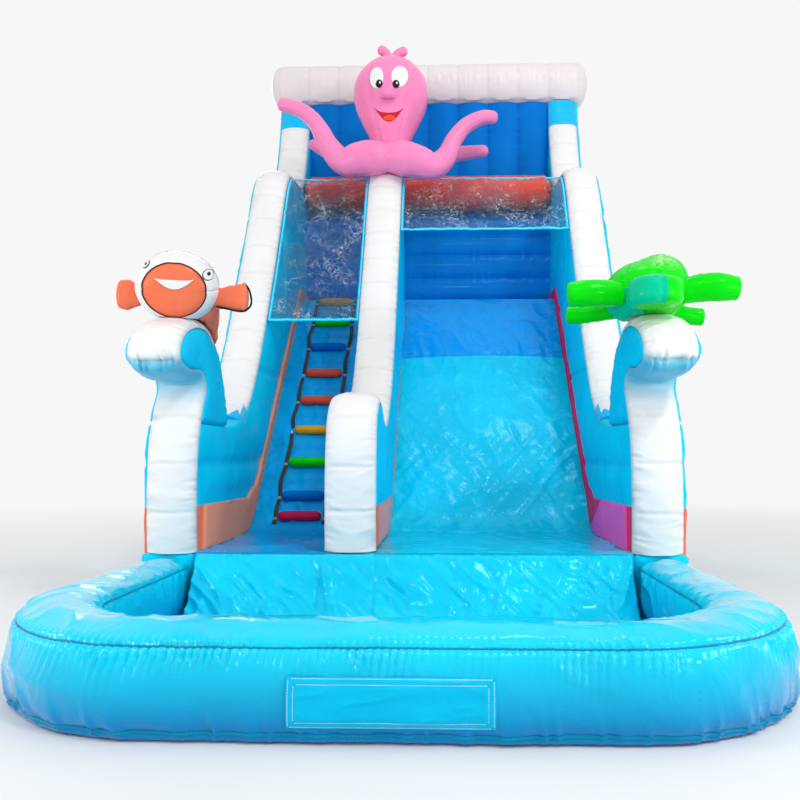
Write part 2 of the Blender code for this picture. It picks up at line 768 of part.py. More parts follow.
def film_rows(x_low, x_high, hem_z):
    """Points of a film cover, from its hem up to the shoulder, with shallow cross folds."""
    line = inset_line(smooth_line(CAP_LINE), FILM_DEPTH)
    below = [point for point in line if point[1] <= hem_z][-1]
    line = [point for point in line if point[1] > hem_z and point[0] < FILM_TOP_Y]
    share = (hem_z - below[1]) / (line[0][1] - below[1])
    line.insert(0, (below[0] + share * (line[0][0] - below[0]), hem_z))
    rows = []
    for i, (y, z) in enumerate(line):
        row = []
        for j in range(7):
            t = j / 6
            fold = 0.012 * sin(pi * t) * (1 if i % 2 else -1)
            row.append((x_low + (x_high - x_low) * t, y + fold, z))
        rows.append(row)
    return rows


def build_sheets():
    """Film covers, pool floor and landing sheet."""
    x_edge = WALL_IN - GAP - 0.001
    gap = GAP + 0.001
    climb = film_rows(-x_edge, DIVIDER_LOW - gap, FILM_CLIMB_HEM_Z)
    slide = film_rows(DIVIDER_HIGH + gap, x_edge, FILM_SLIDE_HEM_Z)
    sheet_part("cover_film_climb", climb, SHEET, "clear", 0.1)
    sheet_part("cover_film_slide", slide, SHEET, "clear", 0.1)
    foot = [row[0][:2] for row in sweep_rows(pool_path(), [(-0.176, 0.0)])]
    foot[0] = (foot[0][0], -0.031)
    foot[-1] = (foot[-1][0], -0.031)
    add_part("pool_floor", plan_outline(foot, 0.0, 0.004), "cyan")
    build_landing(POOL_HALF - 0.25)


def build_landing(x_half):
    """Loose apron from the front of the decks to the pool floor, with its main folds."""
    line = smooth_line(
        [(-0.035, 0.492), (-0.085, 0.468), (-0.15, 0.36), (-0.24, 0.20), (-0.36, 0.08), (-0.50, 0.022)]
        , 2)
    rows = []
    for i, (y, z) in enumerate(line):
        loose = sin(pi * i / (len(line) - 1))
        row = []
        for j in range(19):
            t = j / 18
            fold = 0.012 * loose * sin(t * 9 * pi)
            row.append((-x_half + 2 * x_half * t, y - fold, z + 0.4 * fold))
        rows.append(row)
    sheet_part("landing_sheet", rows, SHEET, "cyan", 0.2)


# Pool

def pool_section():
    """Cross-section of the pool wall: (outward, up) from the middle of its foot."""
    return [
        (0.17, 0.0), (0.225, 0.06), (0.250, 0.13), (0.250, 0.25), (0.205, 0.40), (0.11, 0.455),
        (0.0, 0.475), (-0.11, 0.455), (-0.195, 0.40), (-0.215, 0.24), (-0.205, 0.08),
        (-0.17, 0.0),
    ]


def pool_path():
    """Middle line of the pool wall in plan, from the left rear to the right rear."""
    rear = -GAP
    corner_y = POOL_FRONT + POOL_CORNER
    corner_x = POOL_HALF - POOL_CORNER
    path = [(-POOL_HALF, rear), (-POOL_HALF, rear / 2 + corner_y / 2)]
    for k in range(8):
        turn = pi + (pi / 2) * k / 7
        path.append((-corner_x + POOL_CORNER * cos(turn), corner_y + POOL_CORNER * sin(turn)))
    path.append((0.0, POOL_FRONT))
    path += [(-x, y) for x, y in path[::-1][1:]]
    return path


def sweep_rows(path, section):
    """Section points carried square to a plan path, right side outwards."""
    rows = []
    for i, (x, y) in enumerate(path):
        x0, y0 = path[max(i - 1, 0)]
        x1, y1 = path[min(i + 1, len(path) - 1)]
        if i in (0, len(path) - 1):
            x0 = x1 = x
            y0, y1 = (1, 0) if i == 0 else (0, 1)
        size = sqrt((x1 - x0) ** 2 + (y1 - y0) ** 2)
        out = ((y1 - y0) / size, -(x1 - x0) / size)
        rows.append([(x + out[0] * a, y + out[1] * a, z) for a, z in section])
    return rows


def build_pool():
    """Pool wall swept along its plan, and the banner patch on its front."""
    mesh = loft_mesh(sweep_rows(pool_path(), pool_section()))
    add_part("pool_wall", mesh, "cyan", 0.25)
    build_patch()


def build_patch():
    """Banner patch that follows the bulge of the front wall."""
    side = [(0.236, 0.09), (0.250, 0.13), (0.250, 0.25), (0.240, 0.285)]
    rows = []
    for x in (-0.41, -0.20, 0.03, 0.25, 0.46):
        rows.append([(x, POOL_FRONT - a - 0.004, z) for a, z in side])
    sheet_part("banner_patch", rows, 0.005, "cyan", 0.3)


# Figures

def along_axis(place, way):
    """Matrix that stands a turned shape's Z axis along a direction at a place."""
    turn = Vector((0, 0, 1)).rotation_difference(Vector(way)).to_matrix().to_4x4()
    return Matrix.Translation(place) @ turn


def octopus_profile(grow=0.0):
    """Turned profile of the head and neck, from the crown down."""
    line = smooth_line([
        (0.0, 5.93), (0.17, 5.90), (0.31, 5.80), (0.41, 5.65), (0.44, 5.49), (0.42, 5.32),
        (0.35, 5.15), (0.27, 4.99), (0.21, 4.84), (0.18, 4.70), (0.145, 4.55),
    ], 1)
    line = [(radius + grow if radius > 0 else 0.0, z) for radius, z in line]
    return [(0.0, 5.93 + grow)] + line[1:] + [(0.14 + grow, 4.40 - grow), (0.0, 4.40 - grow)]


def build_octopus():
    """Head with its tuft and rear arms, and two front arms, seated on the divider."""
    middle = (-0.415, 3.10)
    shape = Matrix.Translation((*middle, 0))
    head = add_part(
        "octopus_head", turned_mesh(octopus_profile(), 16, (1, 0.85, 1), shape), "pink"
    )
    for side, tip_x in (("left", -0.52), ("right", -0.27)):
        lobe = tube_mesh([
            (middle[0], middle[1], 5.88, 0.05), ((middle[0] + tip_x) / 2, middle[1], 5.99, 0.052),
            (tip_x, middle[1], 6.03, 0.058),
        ], 2, 2)
        boolean(head, add_cutter(f"tuft_{side}", lobe), "UNION")
    rear_arms = {
        "rear_arm_left": [
            (-0.43, 3.18, 4.66, 0.09), (-0.60, 3.30, 4.62, 0.10), (-0.85, 3.36, 4.66, 0.09),
            (-1.15, 3.38, 4.86, 0.08), (-1.38, 3.38, 5.00, 0.065),
        ],
        "rear_arm_right": [
            (-0.40, 3.18, 4.66, 0.09), (-0.24, 3.30, 4.65, 0.10), (-0.05, 3.36, 4.73, 0.10),
            (0.34, 3.38, 4.86, 0.09), (0.68, 3.38, 4.90, 0.072),
        ],
    }
    for name, stations in rear_arms.items():
        boolean(head, add_cutter(name, tube_mesh(stations, 2)), "UNION")
    seat = divider_seat()
    boolean(head, seat)
    grown = turned_mesh(octopus_profile(FIT), 16, (1, 0.85, 1), shape)
    neck = add_cutter("octopus_neck", grown)
    arms = {
        "octopus_arm_left": [
            (-0.446, 2.81, 4.60, 0.16), (-0.58, 2.81, 4.60, 0.195), (-0.76, 2.80, 4.58, 0.185),
            (-0.94, 2.82, 4.56, 0.15), (-1.10, 2.85, 4.74, 0.125), (-1.27, 2.88, 5.05, 0.095),
            (-1.46, 2.90, 5.22, 0.085), (-1.66, 2.90, 5.28, 0.078),
        ],
        "octopus_arm_right": [
            (-0.430, 2.81, 4.60, 0.16), (-0.30, 2.81, 4.60, 0.195), (-0.10, 2.80, 4.55, 0.185),
            (0.10, 2.82, 4.50, 0.15), (0.24, 2.85, 4.62, 0.12), (0.33, 2.87, 4.82, 0.10),
            (0.47, 2.89, 5.00, 0.088), (0.66, 2.90, 5.10, 0.08), (0.78, 2.90, 5.10, 0.072),
        ],
    }
    for name, stations in arms.items():
        arm = add_part(name, tube_mesh(stations, 2), "pink")
        boolean(arm, neck)
        boolean(arm, seat)


def divider_seat():
    """Cutter that shapes a figure's underside to the divider's top."""
    edge = [(y, z) for y, z in inset_line(smooth_line(DIVIDER_LINE), -GAP) if z > 3.0]
    loop = edge + [(DIVIDER_BACK_Y + GAP, edge[-1][1]), (DIVIDER_BACK_Y + GAP, 3.2), (2.4, 3.0)]
    return add_cutter(
        "divider_seat", side_outline(loop, DIVIDER_LOW - GAP, DIVIDER_HIGH + GAP)
    )


def wave_seat(name, x_low, x_high):
    """Cutter that shapes a figure's underside to the top of a wave head."""
    edge = inset_line(smooth_line(FACE_LINE), -GAP)
    edge = [point for point in edge if point[1] > 1.80 or point[0] < -0.30]
    back = [(y + GAP, z + GAP) for y, z in smooth_line(WAVE_BACK)[1:]]
    loop = [point for point in edge if point[1] > 1.9] + back + [(0.3, 1.5)]
    return add_cutter(name, side_outline(loop, x_low, x_high))


def fish_profile(grow=0.0):
    """Turned profile of the clownfish's head from its blunt face backwards."""
    line = [
        (0.0, 0.24), (0.12, 0.236), (0.20, 0.215), (0.26, 0.15), (0.29, 0.03), (0.28, -0.10),
        (0.22, -0.22), (0.12, -0.30), (0.0, -0.33),
    ]
    return [(radius + grow if radius > 0 else 0.0, z) for radius, z in line]


def build_fish():
    """Clownfish with a blunt face, a tail behind it and two fins, seated on the left wave."""
    place = along_axis((-1.755, -0.05, 2.46), (0.22, -0.92, -0.32))
    oval = (1, 0.88)
    seat = wave_seat("wave_seat_left", -WALL_OUT - GAP, -WALL_IN + GAP)
    tail = [
        (-1.745, 0.03, 2.42, 0.22), (-1.73, 0.16, 2.37, 0.225), (-1.71, 0.30, 2.28, 0.17),
        (-1.70, 0.40, 2.17, 0.11),
    ]
    body = add_part("fish_body", turned_mesh(fish_profile(), 14, oval, place), "orange")
    boolean(body, add_cutter("fish_tail", tube_mesh(tail, 2)), "UNION")
    boolean(body, seat)
    wider = [(x, y, z, radius + FIT) for x, y, z, radius in tail]
    grown = [
        add_cutter("fish_grown", turned_mesh(fish_profile(FIT), 14, oval, place)),
        add_cutter("fish_tail_grown", tube_mesh(wider, 2)),
    ]
    fins = {
        "fish_fin_left": [
            (-1.96, 0.02, 2.42, 0.06), (-2.03, 0.02, 2.42, 0.075), (-2.10, 0.02, 2.42, 0.10),
            (-2.14, 0.02, 2.42, 0.105),
        ],
        "fish_fin_right": [
            (-1.54, 0.02, 2.385, 0.06), (-1.47, 0.02, 2.385, 0.075), (-1.38, 0.02, 2.385, 0.10),
            (-1.33, 0.02, 2.385, 0.11),
        ],
    }
    for name, stations in fins.items():
        fin = add_part(name, tube_mesh(stations, 2), "orange")
        for cutter in (*grown, seat):
            boolean(fin, cutter)


def build_turtle():
    """Turtle body with its rear flippers, head and front flippers, on the right wave."""
    ball = ball_profile(1.0, 1.0, 8)
    shell = (Vector((1.75, 0.10, 2.43)), (0.315, 0.35, 0.24))
    hump = (Vector((1.84, 0.06, 2.50)), (0.21, 0.26, 0.21))
    seat = wave_seat("wave_seat_right", WALL_IN - GAP, WALL_OUT + GAP)
    lays = [Matrix.Translation(middle) for middle, size in (shell, hump)]
    body = add_part("turtle_body", turned_mesh(ball, 16, shell[1], lays[0]), "green")
    boolean(body, add_cutter("turtle_hump", turned_mesh(ball, 16, hump[1], lays[1])), "UNION")
    rear_flippers = {
        "rear_flipper_left": [
            (1.60, 0.22, 2.34, 0.08), (1.38, 0.24, 2.30, 0.07), (1.26, 0.25, 2.29, 0.07),
            (1.19, 0.25, 2.29, 0.065),
        ],
        "rear_flipper_right": [
            (1.90, 0.22, 2.34, 0.08), (2.06, 0.24, 2.29, 0.07), (2.16, 0.25, 2.275, 0.07),
            (2.215, 0.25, 2.27, 0.07),
        ],
    }
    for name, stations in rear_flippers.items():
        boolean(body, add_cutter(name, tube_mesh(stations, 2)), "UNION")
    boolean(body, seat)
    grown = []
    for name, (middle, size), lay in zip(("shell", "hump"), (shell, hump), lays):
        wider = tuple(a + BALL_FIT for a in size)
        grown.append(add_cutter(f"turtle_{name}_grown", turned_mesh(ball, 16, wider, lay)))
    head_lay = Matrix.Translation((1.705, -0.34, 2.335))
    head = add_part("turtle_head", turned_mesh(ball, 14, (0.19, 0.18, 0.105), head_lay), "green")
    for cutter in grown:
        boolean(head, cutter)
    flippers = {
        "turtle_flipper_left": [
            (1.52, -0.08, 2.38, 0.090), (1.40, -0.10, 2.385, 0.10), (1.26, -0.12, 2.38, 0.10),
            (1.15, -0.12, 2.37, 0.085),
        ],
        "turtle_flipper_right": [
            (1.98, -0.08, 2.40, 0.090), (2.10, -0.10, 2.42, 0.105), (2.22, -0.12, 2.42, 0.105),
            (2.31, -0.12, 2.41, 0.09),
        ],
    }
    for name, stations in flippers.items():
        flipper = add_part(name, tube_mesh(stations, 2), "green")
        for cutter in (*grown, seat):
            boolean(flipper, cutter)


# Fittings

def build_sleeve():
    """Inflation sleeve: an open fabric tube on the back wall, for the blower's nozzle."""
    start = REAR_FACE + 0.0452
    bore = SLEEVE_RADIUS - SLEEVE_WALL
    profile = [
        (SLEEVE_RADIUS, SLEEVE_LENGTH), (SLEEVE_RADIUS, 0.0), (bore, 0.0), (bore, SLEEVE_LENGTH),
        (SLEEVE_RADIUS, SLEEVE_LENGTH),
    ]
    lay = Matrix.Translation((SLEEVE_X, start, SLEEVE_Z)) @ Matrix.Rotation(-pi / 2, 4, "X")
    add_part("inflation_sleeve", turned_mesh(profile, 20, turn=lay), "blue")


def build_zip():
    """Deflation zip on the back wall and its slider."""
    face = REAR_FACE + 0.0446
    low = (ZIP_X - ZIP_LENGTH / 2, face + GAP, ZIP_Z - 0.02)
    high = (ZIP_X + ZIP_LENGTH / 2, face + GAP + 0.006, ZIP_Z + 0.02)
    add_part("deflation_zip", box_mesh(low, high), "black", 0.6)
    x = ZIP_X - ZIP_LENGTH / 2 + 0.05
    y = high[1] + GAP
    loop = [(-0.020, 0.012), (0.016, 0.012), (0.022, 0.005), (0.060, 0.005), (0.060, -0.005),
            (0.022, -0.005), (0.016, -0.012), (-0.020, -0.012)]
    mesh = front_outline([(x + a, ZIP_Z + b) for a, b in loop], y, y + 0.008)
    add_part("zip_slider", mesh, "steel", 0.3, 1.0)


def ring_mesh(x, y, z):
    """D ring hanging in the plane of the wall: straight bar on top, round below."""
    half = RING_WIDTH / 2
    points = [(y - half, z), (y, z), (y + half, z)]
    for k in range(1, 8):
        turn = pi * k / 8
        points.append((y + half * cos(turn), z - 0.012 - RING_DROP * sin(turn)))
    curve = bpy.data.curves.new("ring", "CURVE")
    curve.dimensions = "3D"
    curve.bevel_depth = RING_WIRE
    curve.bevel_resolution = 1
    spline = curve.splines.new("POLY")
    spline.points.add(len(points) - 1)
    for point, (a, b) in zip(spline.points, points):
        point.co = (x, a, b, 1.0)
    spline.use_cyclic_u = True
    return mesh_of_curve(curve)


def tab_mesh(x_wall, x_bar, y, z, outward):
    """Webbing tab: two plies on the wall that open into a loop round the ring's bar."""
    bore = RING_WIRE + 0.0012
    outer = bore + TAB_THICK
    wall_gap = abs(x_bar - x_wall)
    loop = []
    for k in range(13):
        turn = pi / 2 - pi * 1.5 * k / 12
        loop.append((outer * cos(turn) * 1.0, outer * sin(turn)))
    loop = [(-wall_gap, 0.085), (-wall_gap + 2 * TAB_THICK, 0.085),
            (-wall_gap + 2 * TAB_THICK, outer + 0.004)] + loop[1:10]
    loop += [(-wall_gap, -outer * 0.7)]
    hole = [(bore * cos(2 * pi * k / 10), bore * sin(2 * pi * k / 10)) for k in range(10)]
    loops = [[(outward * a, b) for a, b in part] for part in (loop, hole)]
    turn = Matrix(((1, 0, 0, x_bar), (0, 0, -1, y), (0, 1, 0, z), (0, 0, 0, 1)))
    return outline_mesh(loops, TAB_WIDTH / 2, turn)


def build_anchors():
    """Anchor rings on webbing tabs, low on the outer faces of the side walls."""
    for side, outward in (("left", -1), ("right", 1)):
        x_wall = outward * (WALL_OUT + GAP)
        x_bar = outward * (WALL_OUT + GAP + 0.0085)
        for place, (y, z) in RING_PLACES.items():
            add_part(
                f"anchor_tab_{place}_{side}", tab_mesh(x_wall, x_bar, y, z, outward), "black", 0.7
            )
            ring = add_part(
                f"anchor_ring_{place}_{side}", ring_mesh(0, 0, 0), "steel", 0.3, 1.0
            )
            ring.location = (x_bar, y, z)


clear_scene()
PARTS = new_collection("inflatable_slide")
CUTTERS = new_collection("cutters")
build_walls()
build_divider()
build_decks()
build_rungs()
build_straps()
build_back()
build_sheets()
build_pool()
build_octopus()
build_fish()
build_turtle()
build_sleeve()
build_zip()
build_anchors()
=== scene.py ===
"""Looks of the inflatable slide: each sewn piece as a worked-out surface with its own finish.

Lengths are in metres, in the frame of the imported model: the ground is at Z 0, the pool lies
towards -Y, the tower towards +Y, and the climbing lane is on the -X side.
"""

import logging
from dataclasses import dataclass, field
from enum import Enum
from itertools import product
from math import atan2, cos, pi, radians, sin, tan
from typing import Callable, Sequence

import bmesh
import bpy
import numpy as np
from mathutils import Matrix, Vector
from mathutils.geometry import delaunay_2d_cdt
from numpy.typing import NDArray


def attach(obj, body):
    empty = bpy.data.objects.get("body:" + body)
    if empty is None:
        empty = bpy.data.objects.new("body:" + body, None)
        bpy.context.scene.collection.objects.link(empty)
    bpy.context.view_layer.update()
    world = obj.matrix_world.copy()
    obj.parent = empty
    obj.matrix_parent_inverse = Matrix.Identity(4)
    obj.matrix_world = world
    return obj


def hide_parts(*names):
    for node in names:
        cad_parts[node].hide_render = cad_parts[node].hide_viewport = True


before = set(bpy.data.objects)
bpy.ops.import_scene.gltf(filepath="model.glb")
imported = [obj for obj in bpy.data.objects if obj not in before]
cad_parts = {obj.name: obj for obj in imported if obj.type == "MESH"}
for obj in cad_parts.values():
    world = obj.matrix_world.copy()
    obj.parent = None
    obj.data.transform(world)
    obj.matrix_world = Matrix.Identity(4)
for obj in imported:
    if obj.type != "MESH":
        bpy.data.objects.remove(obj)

Array = NDArray[np.float64]
Surface = Callable[[Array, Array], Array]
Line = Sequence[tuple[float, float]]
Triple = tuple[float, float, float]
Socket = bpy.types.NodeSocket
Piece = bpy.types.Object

log = logging.getLogger("slide")

# Widths of the tower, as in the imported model
WALL_IN = 1.60
WALL_OUT = 2.00
DIVIDER_LOW = -0.65
DIVIDER_HIGH = -0.27
REAR_FACE = 4.44
ROLLS_FRONT = 4.20
RIM = 0.055
LIFT = 0.001
CLEAR = 0.0003
FILM_GAP = 0.0013
TRIM_HIGH = 0.13

# Levels
SPLIT_Z = 1.45
FACE_FOOT_Z = 0.49
DECK_LOW_Z = 0.50
DECK_TOP_Y = 3.70
DECK_TOP_Z = 3.14
DECK_KNEE_Y = 1.45
DECK_THICK = 0.16
ROLLS_TOP = 4.38
PANEL_TOP = 5.92

# Edge lines in the (y, z) plane
FACE_LINE = [
    (0.00, 0.49), (-0.035, 0.90), (-0.02, 1.30), (0.07, 1.58), (0.14, 1.72), (0.04, 1.79),
    (-0.20, 1.775), (-0.40, 1.83), (-0.44, 1.97), (-0.31, 2.12), (-0.05, 2.21),
    (0.20, 2.21), (0.38, 2.13),
]
WAVE_BACK = [(0.38, 2.13), (0.53, 1.99), (0.66, 1.80), (0.74, 1.60), (0.78, SPLIT_Z)]
VALLEY_LINE = [(0.78, SPLIT_Z), (0.92, 1.46), (1.05, 1.485), (1.18, 1.54)]
CAP_LINE = [
    (1.18, 1.54), (1.35, 1.68), (1.55, 1.88), (1.85, 2.33), (2.12, 2.85), (2.38, 3.35),
    (2.60, 3.81), (2.80, 4.24), (3.02, 4.50), (3.35, 4.58), (3.65, 4.61), (3.86, 4.73),
    (4.02, 5.07), (4.15, 5.50), (4.22, PANEL_TOP),
]
DIVIDER_LINE = [
    (0.00, 0.505), (-0.03, 0.90), (-0.01, 1.30), (0.08, 1.54), (0.28, 1.67), (0.52, 1.64),
    (0.74, 1.53), (0.96, 1.51), (1.25, 1.66), (1.55, 1.93), (1.85, 2.36), (2.12, 2.86),
    (2.38, 3.35), (2.60, 3.81), (2.79, 4.21), (2.95, 4.44), (3.09, 4.52), (3.25, 4.54),
]
DIVIDER_BACK_Y = 3.44

# Lengths up the climbing deck at which the rungs lie
RUNG_STEPS = (1.56, 1.81, 2.23, 2.66, 3.09, 3.52, 3.96, 4.40, 4.80)

# Middle and half length of the zip on the back wall
ZIP_X = 0.95
ZIP_Z = 0.36
ZIP_HALF = 0.35

# Distance between the rows of points on the decks
DECK_PITCH = 0.022


class Side(Enum):
    """A side of the slide, by its sign along X."""

    LEFT = -1
    RIGHT = 1

    @property
    def word(self) -> str:
        """The side's name, as the names of pieces and nodes have it."""
        return self.name.lower()


# Lines

def unit(rows: Array) -> Array:
    """Vectors of length 1: each divided by its own length."""
    return rows / np.maximum(np.linalg.norm(rows, axis=-1, keepdims=True), 1e-12)


def follow(run: Array, rows: Array, places: Array) -> Array:
    """Rows read between their stations, in straight steps.

    Args:
        run: the station of each row.
        rows: what is read, one row at each station.
        places: where it is read, of any shape.

    Returns:
        The values, with one more axis than the places.
    """
    return np.stack([np.interp(places, run, rows[:, k]) for k in range(rows.shape[1])], -1)


def smooth_line(points: Sequence[Sequence[float]], steps: int = 2) -> Array:
    """Catmull-Rom curve: half of 2b + (c-a)t + (2a-5b+4c-d)t^2 + (3b-a-3c+d)t^3 in each span.

    Args:
        points: places that the curve goes through.
        steps: pieces in each span.

    Returns:
        The curve's points, one row each.
    """
    given = np.asarray(points, float)
    held = np.vstack([given[:1], given, given[-1:]])
    a, b, c, d = (part[:, None, :] for part in (held[:-3], held[1:-2], held[2:-1], held[3:]))
    t = (np.arange(steps) / steps)[None, :, None]
    curve = 0.5 * (
        2 * b + (c - a) * t + (2 * a - 5 * b + 4 * c - d) * t**2
        + (3 * b - a - 3 * c + d) * t**3
    )
    return np.vstack([curve.reshape(-1, given.shape[1]), given[-1:]])


def arc(line: Array) -> Array:
    """Length along a line at each of its points: the running sum of its steps."""
    return np.concatenate([[0.0], np.cumsum(np.linalg.norm(np.diff(line, axis=0), axis=1))])


def along(line: Array, places: Array) -> Array:
    """Points of a line at given lengths along it, straight between its own points.

    Args:
        line: points, one row each.
        places: lengths along the line, of any shape.

    Returns:
        Points, with one more axis than the places.
    """
    return follow(arc(line), line, places)


def resample(line: Array, pitch: float) -> Array:
    """The line's points about one pitch apart."""
    run = arc(line)[-1]
    return along(line, np.linspace(0.0, run, max(2, round(run / pitch)) + 1))


def left_of(line: Array, closed: bool = False) -> Array:
    """Unit normals on the left of a flat line: the step (a, b) turned to (-b, a).

    Args:
        line: points of a flat line.
        closed: whether the last point joins the first.

    Returns:
        One normal for each point.
    """
    if closed:
        step = np.roll(line, -1, axis=0) - np.roll(line, 1, axis=0)
    else:
        step = np.gradient(line, axis=0)
    return unit(np.stack([-step[:, 1], step[:, 0]], -1))


def inset(line: Array, depth: float) -> Array:
    """The line moved by a depth to its right, which is inside a wall's edge."""
    return line - depth * left_of(line)


def deck_line() -> Array:
    """Top line of both decks in (y, z): landing, rounded knee and slope."""
    before, after = 0.25, 0.15
    start = np.array([DECK_KNEE_Y - before, DECK_LOW_Z])
    middle = np.array([DECK_KNEE_Y, DECK_LOW_Z])
    end = np.array([DECK_KNEE_Y + after, DECK_LOW_Z + after * tan(deck_angle())])
    t = np.linspace(0.0, 1.0, 9)[:, None]
    knee = (1 - t) ** 2 * start + 2 * t * (1 - t) * middle + t**2 * end
    return np.vstack([[0.0, DECK_LOW_Z], knee, [DECK_TOP_Y, DECK_TOP_Z]])


def deck_angle() -> float:
    """Angle of the slope above the ground."""
    return atan2(DECK_TOP_Z - DECK_LOW_Z, DECK_TOP_Y - DECK_KNEE_Y)


def deck_point(place: Array, lift: Array) -> Array:
    """Points at lengths along the decks' top line, lifted square to it.

    Args:
        place: lengths along the line.
        lift: heights above it, of the same shape.

    Returns:
        Points in (y, z).
    """
    step = 0.002
    at = along(deck_line(), place)
    way = unit(along(deck_line(), place + step) - along(deck_line(), place - step))
    return at + np.stack([-way[..., 1], way[..., 0]], -1) * np.asarray(lift)[..., None]


def with_x(x: Array, flat: Array) -> Array:
    """Points in space from (y, z) points and an X for each, or one that fits them all."""
    return np.concatenate([np.broadcast_to(x, flat.shape[:-1])[..., None], flat], -1)


def placed(x: Array, y: Array, z: Array) -> Array:
    """Points in space from coordinates that broadcast together."""
    return np.stack(np.broadcast_arrays(x, y, z), -1)


def closed_line(corners: Array, pitch: float) -> Array:
    """Points about one pitch apart round a closed outline, its first one not repeated."""
    return resample(np.vstack([corners, corners[:1]]), pitch)[:-1]


def off_gore(angle: Array, gores: int, radius: Array | float) -> Array:
    """Distance from the nearest of the seams between a round body's gores."""
    return np.abs(np.sin(angle * gores / 2)) * 2 / gores * radius


def turns(count: int) -> Array:
    """A row of even angles all the way round."""
    return np.linspace(0, 2 * pi, count, endpoint=False)[None, :]


# Folds and puckers

def hashed(cell: NDArray[np.int64], seed: int) -> Array:
    """A number from 0 to 1 that belongs to each whole-number cell, by mixing its bits."""
    primes = np.array([73856093, 19349663, 83492791], dtype=np.int64)[: cell.shape[-1]]
    mixed = (cell * primes).sum(-1) + seed * 974711
    mixed = ((mixed ^ (mixed >> 13)) * 1274126177) & 0xFFFFFFFF
    mixed = ((mixed ^ (mixed >> 15)) * 668265263) & 0xFFFFFFFF
    return ((mixed ^ (mixed >> 14)) & 0xFFFFFF) / 0xFFFFFF


def noise(size: float | Sequence[float], seed: int, *axes: Array) -> Array:
    """Soft noise from -1 to 1: corner values of a lattice, blended by 3t^2 - 2t^3 on each axis.

    Args:
        size: lattice pitch, one for all axes or one each.
        seed: picks another noise.
        axes: one to three coordinate arrays that broadcast together.

    Returns:
        Noise at each place.
    """
    place = np.stack(np.broadcast_arrays(*axes), -1) / np.asarray(size, float)
    cell = np.floor(place).astype(np.int64)
    t = place - cell
    t = t * t * (3 - 2 * t)
    total = np.zeros(place.shape[:-1])
    for corner in product((0, 1), repeat=len(axes)):
        near = np.where(np.array(corner, bool), t, 1 - t).prod(-1)
        total += near * hashed(cell + np.array(corner), seed)
    return 2 * total - 1


def ridges(size: float | Sequence[float], seed: int, *axes: Array) -> Array:
    """Sharp folds from 0 to 1: the square of one less the size of the noise."""
    return (1 - np.abs(noise(size, seed, *axes))) ** 2


def ramp(x: Array, width: float) -> Array:
    """0 at 0 and below, and a straight rise to 1 at the width."""
    return np.clip(x / width, 0, 1)


def within(x: Array, low: float, high: float) -> Array:
    """How far inside two limits a value is: the least of x - low and high - x."""
    return np.minimum(x - low, high - x)


def to_border(x: Array, s: Array, sides: Sequence[float], length: float) -> Array:
    """How far inside a cut sheet a place is, x between its sides and s along its length."""
    return np.minimum(within(x, *sides), within(s, 0, length))


def dip(away: Array, width: float) -> Array:
    """A seam's valley: exp(-(away / width)^2)."""
    return np.exp(-((away / width) ** 2))


def pleats(run: Array, away: Array, pitch: float, reach: float, seed: int) -> Array:
    """Puckers square to a seam, fading from it: ridges of the run times exp(-away / reach).

    Args:
        run: length along the seam.
        away: distance from the seam, not negative.
        pitch: usual distance between puckers.
        reach: how far they fade.
        seed: picks another set.

    Returns:
        Height of the puckers, from about -0.5 to 0.5.
    """
    fold = ridges((pitch, 4 * reach), seed, run + 0.2 * away, away)
    long = noise(3 * pitch, seed + 5, run)
    return (fold - 0.45) * np.exp(-away / (reach * (1 + 0.6 * long)))


# Meshes

def grid_faces(rows: int, columns: int, ring: bool = False, torus: bool = False) -> list:
    """Four-sided faces of a grid whose points are stored row by row.

    Args:
        rows: rows of points.
        columns: points in a row.
        ring: whether the last column joins the first.
        torus: whether the last row joins the first too.

    Returns:
        Point numbers, four for each face.
    """
    i, j = np.meshgrid(np.arange(rows if torus else rows - 1),
                       np.arange(columns if ring or torus else columns - 1), indexing="ij")
    k = (j + 1) % columns
    this, following = i * columns, (i + 1) % rows * columns
    corners = (this + j, this + k, following + k, following + j)
    return np.stack([corner.ravel() for corner in corners], -1).tolist()


def new_piece(
    name: str,
    points: Array,
    faces: list,
    uv: Array | None = None,
    wear_and_shade: Array | None = None,
    closed: bool = True,
    sharp: float = 50.0,
) -> Piece:
    """An object with smooth faces that point outwards.

    Args:
        name: the piece's name.
        points: places, one row each.
        faces: point numbers of each face.
        uv: a coordinate pair for each point, where a pattern follows the surface.
        wear_and_shade: for each point, how near a seam or crease it is, from 0 to 1.
        closed: whether the mesh is a closed body, whose normals are set outwards.
        sharp: angle in degrees past which an edge shows.

    Returns:
        The linked object.
    """
    mesh = bpy.data.meshes.new(name)
    mesh.from_pydata(points.reshape(-1, 3).tolist(), [], faces)
    if wear_and_shade is not None:
        layer = mesh.attributes.new("wear_and_shade", "FLOAT", "POINT")
        layer.data.foreach_set("value", np.clip(wear_and_shade, 0, 1).ravel().astype(np.float32))
    if closed:
        body = bmesh.new()
        body.from_mesh(mesh)
        bmesh.ops.recalc_face_normals(body, faces=body.faces)
        body.to_mesh(mesh)
        body.free()
    if uv is not None:
        corner = np.empty(len(mesh.loops), dtype=np.int32)
        mesh.loops.foreach_get("vertex_index", corner)
        layer = mesh.uv_layers.new(name="UVMap")
        layer.data.foreach_set("uv", uv.reshape(-1, 2)[corner].ravel().astype(np.float32))
    mesh.validate()
    mesh.shade_smooth()
    mesh.set_sharp_from_angle(angle=radians(sharp))
    piece = bpy.data.objects.new(name, mesh)
    bpy.context.scene.collection.objects.link(piece)
    return piece


